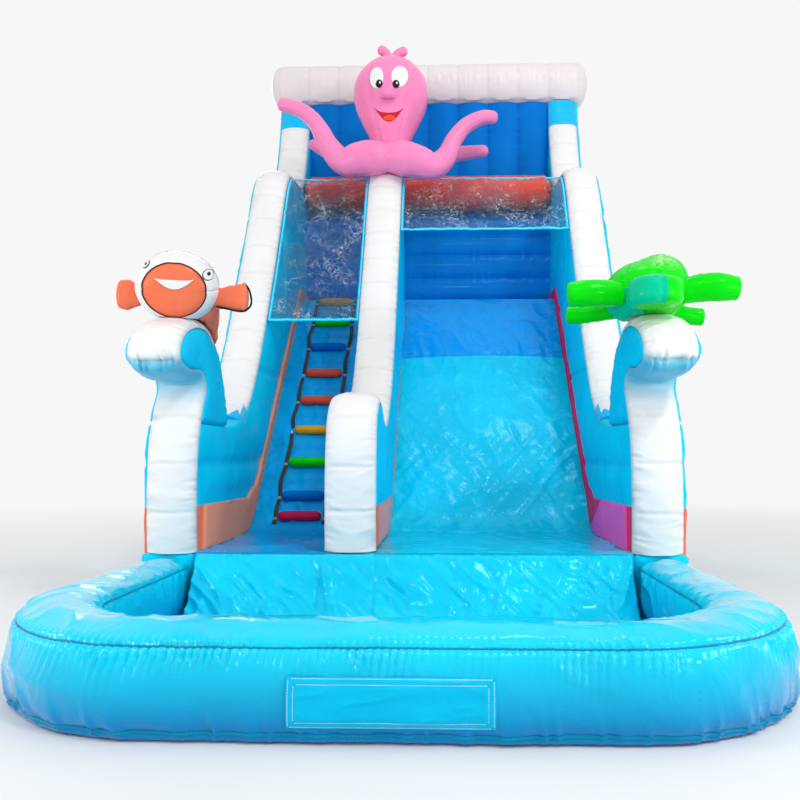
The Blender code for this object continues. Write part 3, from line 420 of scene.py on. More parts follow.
def tube_piece(
    name: str, grid: Array, uv: Array | None = None, wear_and_shade: Array | None = None,
    sharp: float = 50.0,
) -> Piece:
    """A closed body through rings of points, with a face over its first and last ring.

    Args:
        name: the piece's name.
        grid: rings of points, shaped (rings, points in a ring, 3).
        uv: coordinate pairs, shaped (rings, points in a ring, 2).
        wear_and_shade: nearness to seams, shaped (rings, points in a ring).
        sharp: angle in degrees past which an edge shows.

    Returns:
        The linked object.
    """
    rows, columns = grid.shape[:2]
    faces = grid_faces(rows, columns, ring=True)
    faces.append(list(range(columns))[::-1])
    faces.append([(rows - 1) * columns + j for j in range(columns)])
    return new_piece(name, grid, faces, uv, wear_and_shade, sharp=sharp)


def thicken(piece: Piece, thick: float) -> Piece:
    """Give a sheet its thickness by Solidify, half on each side."""
    step = piece.modifiers.new("thickness", "SOLIDIFY")
    step.thickness = thick
    step.offset = 0.0
    return piece


def sheet_piece(
    name: str, grid: Array, thick: float, uv: Array | None = None, wear_and_shade: Array | None = None
) -> Piece:
    """A sheet through a grid of points, given its thickness by Solidify.

    Args:
        name: the piece's name.
        grid: points, shaped (rows, columns, 3).
        thick: thickness, half on each side.
        uv: coordinate pairs, shaped (rows, columns, 2).
        wear_and_shade: nearness to seams, shaped (rows, columns).

    Returns:
        The linked object.
    """
    faces = grid_faces(*grid.shape[:2])
    return thicken(new_piece(name, grid, faces, uv, wear_and_shade, closed=False), thick)


def surface_normals(surface: Surface, u: Array, v: Array, step: float = 0.004) -> Array:
    """Unit normals of a surface: the cross product of its slopes along u and v.

    Args:
        surface: gives points for two parameter arrays.
        u: first parameter.
        v: second parameter.
        step: half of the span over which a slope is taken.

    Returns:
        Normals, with one more axis than the parameters.
    """
    du = surface(u + step, v) - surface(u - step, v)
    dv = surface(u, v + step) - surface(u, v - step)
    return unit(np.cross(du, dv))


def facing(surface: Surface, u: float, v: float) -> float:
    """1 where a surface's normal at a place points forwards, towards -Y, else -1."""
    return 1.0 if surface_normals(surface, np.array([u]), np.array([v]))[0][1] < 0 else -1.0


def ribbon_on(
    name: str, surface: Surface, u: Array, v: Array, lift: float, thick: float
) -> Piece:
    """Tape that lies on a surface, from its under face up to its thickness.

    Args:
        name: the piece's name.
        surface: what it lies on.
        u: first parameters, shaped (rows, columns).
        v: second parameters, shaped (rows, columns).
        lift: height of the tape's middle, whose sign picks the surface's side.
        thick: thickness of the tape.

    Returns:
        The linked object.
    """
    grid = surface(u, v) + lift * surface_normals(surface, u, v)
    return sheet_piece(name, grid, thick, np.stack([u, v], -1))


def threads(
    name: str, start: Array, end: Array, up: Array, width: float = 0.0035
) -> Piece:
    """Stitches: for each pair of points a little closed lozenge bar of twelve faces.

    A bar is c + a s + b w + h n, with s along the stitch, w across it and n out of the cloth.

    Args:
        name: the piece's name.
        start: first end of each stitch.
        end: last end of each stitch.
        up: direction out of the cloth at each stitch.
        width: width of the thread.

    Returns:
        The linked object, all stitches in one mesh.
    """
    way = (end - start) / 2
    side = unit(np.cross(way, up)) * width / 2
    rise = unit(up) * width * 0.4
    shape = np.array([
        (-1, 0, 0), (-0.75, 1, 0), (-0.75, 0, 1), (-0.75, -1, 0), (-0.75, 0, -1),
        (0.75, 1, 0), (0.75, 0, 1), (0.75, -1, 0), (0.75, 0, -1), (1, 0, 0),
    ])
    middle = (start + end) / 2
    points = middle[:, None, :] + (
        shape[None, :, 0:1] * way[:, None, :] + shape[None, :, 1:2] * side[:, None, :]
        + shape[None, :, 2:3] * rise[:, None, :]
    )
    one = []
    for k in range(4):
        m = (k + 1) % 4
        one.append((0, 1 + m, 1 + k, 1 + k))
        one.append((1 + k, 1 + m, 5 + m, 5 + k))
        one.append((9, 5 + k, 5 + m, 5 + m))
    faces = (np.array(one)[None] + 10 * np.arange(len(middle))[:, None, None]).reshape(-1, 4)
    plain = [list(dict.fromkeys(face)) for face in faces.tolist()]
    return new_piece(name, points, plain, sharp=80)


def row_of_stitches(
    surface: Surface, u: Array, v: Array, pitch: float, length: float, lift: float
) -> tuple[Array, Array, Array]:
    """Stitches along a line on a surface.

    Args:
        surface: what is sewn.
        u: first parameters of the line's points.
        v: second parameters of the line's points.
        pitch: distance from stitch to stitch.
        length: length of a stitch.
        lift: height of the thread's middle, whose sign picks the surface's side.

    Returns:
        The first ends, the last ends and the directions out of the cloth.
    """
    run = arc(surface(u, v))
    places = np.arange(pitch, run[-1] - pitch, pitch)
    ends = []
    for shift in (-length / 2, length / 2):
        at_u = np.interp(places + shift, run, u)
        at_v = np.interp(places + shift, run, v)
        normal = surface_normals(surface, at_u, at_v) * np.sign(lift)
        ends.append(surface(at_u, at_v) + abs(lift) * normal)
    return ends[0], ends[1], normal


def joined(rows: list[tuple[Array, Array, Array]]) -> tuple[Array, Array, Array]:
    """Several rows of stitches as one."""
    return tuple(np.concatenate(part) for part in zip(*rows))


# Finishes

class Graph:
    """A material's node tree, with short calls for the nodes that the finishes use."""

    def __init__(self, name: str) -> None:
        """Start a material with its principled shader."""
        self.material = bpy.data.materials.new(name)
        self.material.use_nodes = True
        self.tree = self.material.node_tree
        self.shader = self.tree.nodes["Principled BSDF"]
        self.output = self.tree.nodes["Material Output"]

    def node(self, kind: str, inputs: dict | None = None, **settings) -> bpy.types.Node:
        """Add a node.

        Args:
            kind: the node's type without the ShaderNode prefix.
            inputs: values or sockets for its inputs, by name or number.
            settings: the node's own properties.

        Returns:
            The new node.
        """
        made = self.tree.nodes.new(f"ShaderNode{kind}")
        for key, value in settings.items():
            setattr(made, key, value)
        for key, value in (inputs or {}).items():
            self.feed(made.inputs[key], value)
        return made

    def feed(self, socket: Socket, value) -> None:
        """Link a socket to an input, or set the input's value."""
        if isinstance(value, Socket):
            self.tree.links.new(value, socket)
        else:
            socket.default_value = value

    def shade(self, name: str, value) -> None:
        """Set or link one of the principled shader's inputs."""
        self.feed(self.shader.inputs[name], value)

    def math(self, operation: str, *values) -> Socket:
        """Result of a math node."""
        made = self.node("Math", dict(enumerate(values)), operation=operation)
        return made.outputs[0]

    def plus(self, first, second) -> Socket:
        """Sum of two values."""
        return self.math("ADD", first, second)

    def times(self, first, second) -> Socket:
        """Product of two values, which is also where two conditions both hold."""
        return self.math("MULTIPLY", first, second)

    def above(self, value, level) -> Socket:
        """1 where the value is greater than the level, else 0."""
        return self.math("GREATER_THAN", value, level)

    def below(self, value, level) -> Socket:
        """1 where the value is less than the level, else 0."""
        return self.math("LESS_THAN", value, level)

    def spread(self, value, low: float, high: float, to_low: float, to_high: float):
        """A value carried from one range to another and held inside it.

        Args:
            value: the socket.
            low: start of its range.
            high: end of its range.
            to_low: start of the new range.
            to_high: end of the new range.

        Returns:
            The result's socket.
        """
        made = self.node("MapRange", {0: value, 1: low, 2: high, 3: to_low, 4: to_high})
        return made.outputs[0]

    def blend(self, factor, first, second) -> Socket:
        """Colour between two colours or sockets."""
        made = self.node("Mix", data_type="RGBA")
        self.feed(made.inputs[0], factor)
        for socket, value in ((made.inputs[6], first), (made.inputs[7], second)):
            self.feed(socket, value if isinstance(value, Socket) else (*value, 1))
        return made.outputs[2]

    def cloud(self, scale: float, detail: float = 2.0, twist: float = 0.0, at=None):
        """Noise on object coordinates, or on a given vector.

        Args:
            scale: features for each metre.
            detail: octaves.
            twist: distortion.
            at: a vector socket instead of the object coordinates.

        Returns:
            The factor's socket.
        """
        place = at or self.place()
        made = self.node(
            "TexNoise", {"Vector": place, "Scale": scale, "Detail": detail, "Distortion": twist}
        )
        return made.outputs[0]

    def place(self) -> Socket:
        """Object coordinates."""
        return self.node("TexCoord").outputs["Object"]

    def axes(self, sewn: bool = False) -> list[Socket]:
        """X, Y and Z of the object coordinates, or the place across and along a sewn strip."""
        where = self.node("UVMap", uv_map="UVMap").outputs[0] if sewn else self.place()
        return list(self.node("SeparateXYZ", {0: where}).outputs)

    def bands(self, direction: str, scale: float, at=None) -> Socket:
        """Even bands, as of yarns, square to an axis."""
        made = self.node(
            "TexWave", {"Vector": at or self.place(), "Scale": scale}, bands_direction=direction
        )
        return made.outputs[1]

    def bump(self, height, strength: float, distance: float, under=None):
        """A bump node, on top of another one where given."""
        inputs = {"Height": height, "Strength": strength, "Distance": distance}
        if under is not None:
            inputs["Normal"] = under
        return self.node("Bump", inputs).outputs[0]

    def wear_and_shade(self) -> Socket:
        """The points' nearness to seams and creases."""
        return self.node("Attribute", attribute_name="wear_and_shade").outputs["Fac"]


@dataclass(frozen=True)
class Vinyl:
    """Coated fabric of an inflatable: a gloss coat over a fine woven scrim.

    The colour drifts softly over the cloth, gets dull and darker in seams, creases and pucker
    valleys, partly as grime and partly as painted shade, and the gloss is scuffed in patches.
    Shallow wrinkles and the scrim are in the bump.
    """

    name: str
    slot: str
    colour: Triple
    rough: float = 0.26
    wrinkle: float = 0.20
    grime_and_shade: float = 0.30
    coat: float = 0.06
    shine: float = 0.18
    second: Triple | None = None
    drift: float = 0.55

    def material(self) -> bpy.types.Material:
        """Build the node tree."""
        graph = Graph(self.name)
        deep = tuple(0.72 * part for part in self.colour)
        pale = tuple(min(0.98, 1.04 * part + 0.003) for part in self.colour)
        drift = graph.spread(graph.cloud(1.7, 3.0, 0.6), 0.32, 0.68, 0.0, 1.0)
        base = graph.blend(drift, deep if self.second is None else self.second, pale)
        if self.second is None:
            base = graph.blend(graph.spread(drift, 0.0, 1.0, self.drift, 1.0), deep, pale)
        base = self.marked(graph, base)
        # Painted shade, with some grime: seams, creases and pucker valleys are darkened towards a
        # dark copy of the colour.
        grime_and_shade = graph.times(graph.wear_and_shade(), self.grime_and_shade)
        patchy = graph.times(grime_and_shade, graph.spread(graph.cloud(6.0), 0.3, 0.7, 0.4, 1.2))
        dark = tuple(0.42 * part + 0.008 for part in self.colour)
        graph.shade("Base Color", graph.blend(patchy, base, dark))
        sheen_patch = graph.spread(graph.cloud(11.0, 4.0, 0.5), 0.35, 0.75, -0.05, 0.10)
        rough = graph.plus(graph.plus(sheen_patch, self.rough), patchy)
        graph.shade("Roughness", rough)
        graph.shade("Specular IOR Level", self.shine)
        tint = tuple(0.10 + 0.90 * min(1.0, 1.3 * part) for part in self.colour)
        graph.shade("Specular Tint", (*tint, 1.0))
        graph.shade("Coat Weight", self.coat)
        graph.shade("Coat Roughness", 0.10)
        graph.shade("Normal", self.relief(graph))
        return graph.material

    def marked(self, graph: Graph, base: Socket) -> Socket:
        """The base colour with any marks on it; plain vinyl has none."""
        return base

    def relief(self, graph: Graph) -> Socket:
        """Scrim under shallow wrinkles."""
        yarn = graph.plus(graph.bands("X", 130.0), graph.bands("Z", 130.0))
        scrim = graph.bump(yarn, 0.03, 0.0003)
        crinkle = graph.bump(graph.cloud(38.0, 3.0, 0.8), self.wrinkle * 0.5, 0.004, scrim)
        return graph.bump(graph.cloud(7.0, 3.0, 0.9), self.wrinkle, 0.03, crinkle)


@dataclass(frozen=True)
class TwoToneVinyl(Vinyl):
    """Vinyl whose white ends in pointed drips over another colour near the strip's start.

    The border along the strip is v = start + depth times a zigzag of the place across it, a
    step further up along the inner edge. From v = head on the strip has the other colour again.
    """

    tail: Triple = (0.0, 0.50, 0.88)
    start: float = 0.02
    depth: float = 0.11
    step: float = 0.16
    points: float = 7.5
    head: float = 5.30

    def marked(self, graph: Graph, base: Socket) -> Socket:
        """Colour the strip below the zigzag and past the head."""
        across, run, _ = graph.axes(sewn=True)
        across = graph.math("ABSOLUTE", across)
        tooth = graph.math("PINGPONG", graph.times(across, self.points), 0.5)
        step = graph.times(graph.below(across, WALL_IN + 0.035), self.step)
        edge = graph.plus(graph.times(tooth, self.depth * 2), graph.plus(step, self.start))
        ends = graph.math("MAXIMUM", graph.below(run, edge), graph.above(run, self.head))
        return graph.blend(ends, base, self.tail)


@dataclass(frozen=True)
class CurlVinyl(Vinyl):
    """White vinyl of a pillar's face, with a painted light blue reflection of the pool from the
    throat to the curl's nose.
    """

    tint: Triple = (0.06, 0.50, 0.70)
    low: float = 1.12
    full: float = 1.36
    end: float = 1.86

    def marked(self, graph: Graph, base: Socket) -> Socket:
        """Blend the painted reflection in from the throat and out at the nose."""
        _, run, _ = graph.axes(sewn=True)
        up = graph.spread(run, self.low, self.full, 0.0, 0.92)
        down = graph.spread(run, self.end, self.end + 0.05, 1.0, 0.0)
        # Painted reflection: the pool's blue on the curl's underside.
        return graph.blend(graph.times(up, down), base, self.tint)


@dataclass(frozen=True)
class PoolVinyl(Vinyl):
    """Vinyl of the pool's wall, darker towards the ground as painted shade."""

    deep: Triple = (0.0, 0.22, 0.55)
    low: float = 0.06
    high: float = 0.38

    def marked(self, graph: Graph, base: Socket) -> Socket:
        """Blend the deep colour in below the middle of the wall, as painted shade."""
        # Painted shade: the wall darkens by height towards its foot.
        _, _, z = graph.axes()
        return graph.blend(graph.spread(z, self.low, self.high, 1.0, 0.0), base, self.deep)


@dataclass(frozen=True)
class DeckVinyl(Vinyl):
    """Vinyl of a deck, darker above an arched seam as painted shade: z + arch w^2 > border."""

    deep: Triple = (0.0, 0.36, 0.92)
    border: float = 2.345
    arch: float = 0.038

    def marked(self, graph: Graph, base: Socket) -> Socket:
        """Paint shade on the deck above the seam."""
        x, _, z = graph.axes()
        middle = (DIVIDER_HIGH + WALL_IN) / 2
        across = graph.math("DIVIDE", graph.math("SUBTRACT", x, middle), WALL_IN - middle)
        bow = graph.times(graph.times(across, across), self.arch)
        # Painted shade: the deck is darker above the seam.
        return graph.blend(graph.above(graph.plus(z, bow), self.border), base, self.deep)


@dataclass(frozen=True)
class FootVinyl(Vinyl):
    """Vinyl of a skirt whose trim up the slope, past z + slant y = turn, has another colour."""

    trim: Triple = (0.86, 0.03, 0.13)
    slant: float = 0.55
    turn: float = 1.36

    def marked(self, graph: Graph, base: Socket) -> Socket:
        """Colour the trim above the foot."""
        _, y, z = graph.axes()
        back = graph.plus(z, graph.times(y, self.slant))
        return graph.blend(graph.above(back, self.turn), base, self.trim)


@dataclass(frozen=True)
class DividerVinyl(Vinyl):
    """Vinyl of the divider, with a salmon skirt that follows the decks."""

    skirt: Triple = (0.96, 0.30, 0.24)
    front: Triple = (0.93, 0.14, 0.05)

    def marked(self, graph: Graph, base: Socket) -> Socket:
        """Colour the foot of the sides: 0.33 m on the landing, 0.13 m on the slope."""
        _, y, z = graph.axes()
        rise = tan(deck_angle())
        slope = graph.plus(graph.times(y, rise), DECK_LOW_Z + 0.18 - DECK_KNEE_Y * rise)
        under = graph.below(z, graph.math("MAXIMUM", slope, DECK_LOW_Z + 0.33))
        cloth = graph.blend(graph.spread(y, 0.10, 0.45, 0.0, 1.0), self.front, self.skirt)
        return graph.blend(under, base, cloth)


@dataclass(frozen=True)
class ShellVinyl(Vinyl):
    """Green vinyl of the turtle's back, with a pale painted highlight in a patch on top."""

    sheen_patch: Triple = (0.34, 0.76, 0.26)
    at: Triple = (1.84, -0.16, 2.66)
    reach: float = 0.15

    def marked(self, graph: Graph, base: Socket) -> Socket:
        """Blend the painted highlight in, broken up by noise."""
        away = graph.node("VectorMath", {0: graph.place(), 1: self.at}, operation="DISTANCE")
        near = graph.spread(away.outputs["Value"], 0.5 * self.reach, self.reach, 1.0, 0.0)
        broken = graph.spread(graph.cloud(30.0, 4.0, 1.0), 0.42, 0.56, 0.0, 1.0)
        # Painted highlight: pale green on top of the shell.
        return graph.blend(graph.times(near, broken), base, self.sheen_patch)


@dataclass(frozen=True)
class SkirtedVinyl(Vinyl):
    """Vinyl of the tower's walls: a coloured skirt along the outer foot, and the inner front."""

    skirt: Triple = (0.90, 0.16, 0.06)
    skirt_top: float = 0.82
    skirt_foot: float = 0.495
    outer_x: float = 1.80
    front_y: float = 0.02
    inner_top: float = 0.832
    inner_end_y: float = 0.15
    left_foot: Triple = (0.96, 0.22, 0.12)
    right_foot: Triple = (0.88, 0.03, 0.12)

    def marked(self, graph: Graph, base: Socket) -> Socket:
        """Colour the foot of the outer face, and of the inner one near the front."""
        x, y, z = graph.axes()
        risen = graph.above(z, self.skirt_foot)
        behind = graph.math("MAXIMUM", risen, graph.above(y, self.front_y))
        low = graph.times(graph.below(z, self.skirt_top), behind)
        side = graph.above(graph.math("ABSOLUTE", x), self.outer_x)
        base = graph.blend(graph.times(low, side), base, self.skirt)
        near = graph.times(graph.math("SUBTRACT", 1.0, side), graph.below(y, self.inner_end_y))
        foot = graph.blend(graph.above(x, 0.0), self.left_foot, self.right_foot)
        low = graph.times(graph.below(z, self.inner_top), risen)
        return graph.blend(graph.times(low, near), base, foot)


@dataclass(frozen=True)
class Film:
    """Clear vinyl film, see-through where it faces the eye; painted highlights line its crinkles
    and a veil of painted shade darkens it in patches.
    """

    name: str
    slot: str
    # The dark colour is painted shade and the glint colour paints highlights.
    shade: Triple = (0.03, 0.10, 0.17)
    glint: Triple = (0.86, 0.92, 0.97)

    def streaks(self, graph: Graph, scale: float, width: float) -> Socket:
        """Thin crinkle lines: where a twisted noise is within a width of its middle value."""
        value = graph.cloud(scale, 3.0, 0.7)
        off = graph.math("ABSOLUTE", graph.math("SUBTRACT", value, 0.5))
        return graph.math("POWER", graph.spread(off, 0.0, width, 1.0, 0.0), 1.6)

    def material(self) -> bpy.types.Material:
        """Build the node tree."""
        graph = Graph(self.name)
        # Painted highlights: white crinkle lines, shown whatever the light.
        highlight_lines = graph.math("MAXIMUM", self.streaks(graph, 7.0, 0.014),
                           self.streaks(graph, 17.0, 0.022))
        patch = graph.spread(graph.cloud(4.0, 3.0), 0.44, 0.62, 0.10, 0.9)
        highlight_lines = graph.times(highlight_lines, patch)
        graph.shade("Base Color", graph.blend(highlight_lines, self.shade, self.glint))
        graph.shade("Roughness", graph.spread(
            graph.cloud(20.0, 2.0), 0.3, 0.7, 0.06, 0.16))
        graph.shade("Specular IOR Level", 0.6)
        veil = graph.plus(graph.times(highlight_lines, 0.55),
                          graph.times(graph.wear_and_shade(), 0.15))
        edge = graph.times(graph.node("LayerWeight", {0: 0.25}).outputs[1], 0.12)
        # Painted shade: a dark veil in soft patches.
        shade_veil = graph.spread(graph.cloud(2.2, 2.0), 0.35, 0.65, 0.04, 0.22)
        total = graph.plus(graph.plus(veil, edge), shade_veil)
        graph.shade("Alpha", total)
        fine = graph.bump(graph.cloud(60.0, 2.0, 0.5), 0.10, 0.002)
        graph.shade("Normal", graph.bump(graph.cloud(9.0, 2.0, 1.2), 0.30, 0.02, fine))
        return graph.material


@dataclass(frozen=True)
class Webbing:
    """Woven strap or tape: ribs across it, yarns along it, faded in patches."""

    name: str
    slot: str
    colour: Triple = (0.018, 0.018, 0.022)
    rough: float = 0.72

    def material(self) -> bpy.types.Material:
        """Build the node tree."""
        graph = Graph(self.name)
        faded = tuple(1.8 * part + 0.01 for part in self.colour)
        patch = graph.spread(graph.cloud(9.0, 3.0), 0.35, 0.7, 0.0, 0.8)
        graph.shade("Base Color", graph.blend(patch, self.colour, faded))
        graph.shade("Roughness", graph.spread(
            graph.cloud(30.0), 0.3, 0.7, self.rough - 0.08, self.rough + 0.08))
        graph.shade("Sheen Weight", 0.25)
        rib = graph.bands("DIAGONAL", 90.0)
        yarn = graph.bump(graph.bands("X", 110.0), 0.5, 0.0006)
        graph.shade("Normal", graph.bump(rib, 0.6, 0.0008, yarn))
        return graph.material


@dataclass(frozen=True)
class Steel:
    """Bright plated steel with fine scratches and dull spots."""

    name: str
    slot: str
    colour: Triple = (0.62, 0.63, 0.65)

    def material(self) -> bpy.types.Material:
        """Build the node tree."""
        graph = Graph(self.name)
        spot = graph.spread(graph.cloud(120.0, 3.0), 0.4, 0.7, 0.0, 1.0)
        dull = tuple(0.75 * part for part in self.colour)
        graph.shade("Base Color", graph.blend(spot, self.colour, dull))
        graph.shade("Metallic", 1.0)
        graph.shade("Roughness", graph.spread(spot, 0.0, 1.0, 0.22, 0.42))
        scratch = graph.cloud(400.0, 2.0, 2.0)
        graph.shade("Normal", graph.bump(scratch, 0.15, 0.0002))
        return graph.material


Finish = Vinyl | Film | Webbing | Steel

CYAN = (0.0, 0.62, 0.92)
BLUE = (0.0, 0.17, 0.60)
WHITE = (0.80, 0.80, 0.80)
ORANGE = (0.92, 0.19, 0.09)
CRIMSON = (0.68, 0.012, 0.085)
RED = (0.96, 0.09, 0.04)
GREEN = (0.0, 0.72, 0.005)
PINK = (0.97, 0.26, 0.52)
AMBER = (0.92, 0.36, 0.02)

# Settings that several cloths share
WALL_CLOTH = {"rough": 0.34, "wrinkle": 0.12, "coat": 0.03, "shine": 0.08}
WHITE_CLOTH = {"rough": 0.36, "wrinkle": 0.10, "grime_and_shade": 0.60, "coat": 0.04}
SKIRT_CLOTH = {"rough": 0.45, "grime_and_shade": 0.10, "coat": 0.0, "shine": 0.04, "drift": 0.95}


class Cloth:
    """The finishes of the slide, one for each colour of cloth that its maker cuts."""

    cyan = Vinyl("cyan_vinyl", "pvc_cyan", CYAN, rough=0.32, wrinkle=0.14, coat=0.03, shine=0.10)
    wall = SkirtedVinyl("wall_vinyl", "pvc_cyan", (0.0, 0.66, 1.0), **WALL_CLOTH)
    divider = DividerVinyl("divider_vinyl", "pvc_cyan", (0.0, 0.63, 0.99), **WALL_CLOTH)
    pool = PoolVinyl("pool_vinyl", "pvc_cyan", (0.0, 0.64, 0.88), rough=0.14, wrinkle=0.34,
                     coat=0.34, shine=0.30)
    patch = Vinyl("patch_vinyl", "pvc_cyan", (0.0, 0.50, 0.80), rough=0.24, wrinkle=0.30)
    # Dark tape: its darkness is painted shade for the shadow in the pool seams' grooves.
    tape = Vinyl("seam_shadow_tape_vinyl", "pvc_cyan", (0.0, 0.27, 0.46), rough=0.30, coat=0.04)
    bed = Vinyl("bed_vinyl", "pvc_cyan", (0.0, 0.58, 0.86), rough=0.20)
    landing = Vinyl("landing_vinyl", "pvc_cyan", (0.0, 0.63, 0.88), rough=0.12, wrinkle=0.40,
                    coat=0.16, shine=0.30)
    deck = DeckVinyl("deck_vinyl", "pvc_blue", (0.0, 0.66, 0.96), rough=0.12, wrinkle=0.50,
                     coat=0.16, shine=0.24)
    climb = Vinyl("climb_vinyl", "pvc_blue", (0.0, 0.42, 0.88), rough=0.20, coat=0.08)
    # Painted shade: the crest's white is greyed and faintly pinked.
    crest = Vinyl("crest_shaded_white_vinyl", "pvc_white", (0.77, 0.71, 0.725), drift=0.85, **WHITE_CLOTH)
    roll = Vinyl("roll_vinyl", "pvc_cyan", (0.0, 0.26, 0.76), shine=0.14)
    salmon = Vinyl("salmon_vinyl", "pvc_orange", (1.0, 0.33, 0.20), **SKIRT_CLOTH)
    magenta = FootVinyl("magenta_vinyl", "pvc_crimson", (0.90, 0.12, 0.48), **SKIRT_CLOTH)
    blue = Vinyl("blue_vinyl", "pvc_blue", BLUE, rough=0.40, coat=0.0, shine=0.12)
    white = Vinyl("white_vinyl", "pvc_white", WHITE, drift=0.8, **WHITE_CLOTH)
    curl = CurlVinyl("curl_vinyl", "pvc_white", WHITE, drift=0.8, **WHITE_CLOTH)
    drip = TwoToneVinyl("drip_vinyl", "pvc_white", WHITE, drift=0.8, **WHITE_CLOTH)
    orange = Vinyl("orange_vinyl", "pvc_orange", ORANGE, shine=0.28)
    amber = Vinyl("amber_vinyl", "pvc_orange", AMBER)
    crimson = Vinyl("crimson_vinyl", "pvc_crimson", CRIMSON)
    red = Vinyl("red_vinyl", "pvc_red", RED)
    green = Vinyl("green_vinyl", "pvc_green", GREEN, shine=0.28)
    shell = ShellVinyl("shell_vinyl", "pvc_green", GREEN, shine=0.28)
    teal = Vinyl("teal_vinyl", "pvc_green", (0.0, 0.56, 0.30))
    pink = Vinyl("pink_vinyl", "pvc_pink", PINK, rough=0.3, shine=0.28)
    black = Vinyl("black_vinyl", "webbing", (0.015, 0.015, 0.018), rough=0.3)
    mouth = Vinyl("mouth_vinyl", "pvc_red", (0.55, 0.02, 0.03))
    sleeve = Vinyl("sleeve_cloth", "sleeve_fabric", (0.01, 0.12, 0.42), rough=0.5, coat=0.0,
                   wrinkle=0.4)
    film = Film("clear_film", "clear_film")
    webbing = Webbing("black_webbing", "webbing")
    zip_tape = Webbing("zip_tape", "zip_tape", (0.012, 0.012, 0.014))
    thread = Webbing("white_thread", "webbing", (0.78, 0.80, 0.82), rough=0.6)
    seam_thread = Webbing("blue_thread", "webbing", (0.0, 0.16, 0.36), rough=0.6)
    ring = Steel("ring_steel", "ring_steel")
    slider = Steel("slider_steel", "slider_steel")


class Workshop:
    """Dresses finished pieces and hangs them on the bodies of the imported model."""

    def __init__(self) -> None:
        """Start with no finishes made."""
        self.made: dict[str, bpy.types.Material] = {}
        self.count = 0

    def finish(self, finish: Finish) -> bpy.types.Material:
        """The material of a finish, made once."""
        if finish.name not in self.made:
            self.made[finish.name] = finish.material()
        return self.made[finish.name]

    def fit(
        self, piece: Piece, finish: Finish, *nodes: str, body: str = "slide",
        fill: float | None = None,
    ) -> Piece:
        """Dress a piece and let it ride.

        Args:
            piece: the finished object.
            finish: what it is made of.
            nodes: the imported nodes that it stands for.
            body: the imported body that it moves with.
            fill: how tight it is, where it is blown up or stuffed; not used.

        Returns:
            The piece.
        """
        piece.data.materials.clear()
        piece.data.materials.append(self.finish(finish))
        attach(piece, body)
        if nodes:
            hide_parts(*nodes)
        self.count += 1
        log.info("%s: %d faces, %s", piece.name, len(piece.data.polygons), finish.name)
        return piece


# Shapes that several sub-assemblies share

@dataclass
class EdgeStrip:
    """Crowned strip sewn along an edge line of a wall, drawn in at creases and side seams.

    Across the strip a point is at angle p from 0 to pi: its place is the superellipse
    (-cos p, sin p)^(2/n), and its height H sin^(2/n) p with H = rim + crown (1 - w^2) less
    the creases' dips, with w the place across from -1 to 1.
    """

    name: str
    line: Array
    x_low: float
    x_high: float
    creases: Array
    seed: int
    crown: float = 0.030
    power: float = 3.0
    pitch: float = 0.011
    columns: int = 33
    crease_depth: float = 0.009
    pucker: float = 0.028
    wobble: float = 0.007
    gathers: tuple[float, float] | None = None

    def build(self) -> Piece:
        """Build the closed strip."""
        path = resample(self.line, self.pitch)
        out = left_of(path)
        run = arc(path)[:, None]
        angle = np.linspace(0.0, pi, self.columns)[None, :]
        across = -np.sign(np.cos(angle)) * np.abs(np.cos(angle)) ** (2 / self.power)
        rise = np.sin(angle).clip(0) ** (2 / self.power)
        half = (self.x_high - self.x_low) / 2
        x = (self.x_low + self.x_high) / 2 + half * across
        away = np.abs(run[:, :, None] - self.creases[None, None, :]).min(-1)
        edge = (1 - np.abs(across)) * half
        fine = np.where(across > 0, pleats(run, edge, 0.036, 0.050, self.seed),
                        pleats(run, edge, 0.036, 0.050, self.seed + 17))
        broad = pleats(run + 0.1 * x, edge, 0.085, 0.11, self.seed + 5)
        height = RIM + self.crown * (1 - across**2)
        height = height - self.crease_depth * dip(away, 0.014) * (0.4 + 0.6 * rise)
        height = height + (self.pucker * fine + 0.7 * self.pucker * broad) * rise
        height = height + 0.3 * self.pucker * pleats(x, away, 0.040, 0.05, self.seed + 3) * rise
        height = height + self.wobble * noise((0.30, 0.22), self.seed + 9, run, x)
        if self.gathers is not None:
            near = np.abs(run - self.gathers[0])
            fold = ridges((0.022, 0.30), self.seed + 21, x, run) - 0.45
            height = height + self.gathers[1] * fold * dip(near, 0.09) * rise
            height = height - 0.7 * self.gathers[1] * dip(near, 0.02) * rise
        top = path[:, None, :] + out[:, None, :] * (height * rise - RIM)[..., None]
        middle = (self.x_low + self.x_high) / 2
        under = [with_x(np.array(at), path - out * RIM)[:, None]
                 for at in (self.x_high - half * 0.5, middle, self.x_low + half * 0.5)]
        grid = np.concatenate([with_x(x, top), *under], 1)
        wear_and_shade = 0.22 * dip(away, 0.012) + 0.45 * dip(edge, 0.010) * np.ones_like(run)
        # The valleys of the edge puckers count as creases here, so the vinyl darkens them as painted
        # shade.
        wear_and_shade = wear_and_shade + 1.6 * np.clip(-fine - 0.05, 0, 1) * dip(edge, 0.07)
        wear_and_shade = np.concatenate([wear_and_shade.clip(0, 1), np.zeros((len(path), 3))], 1)
        uv = np.stack([grid[..., 0], np.broadcast_to(run, grid.shape[:2])], -1)
        return tube_piece(self.name, grid, uv, wear_and_shade)


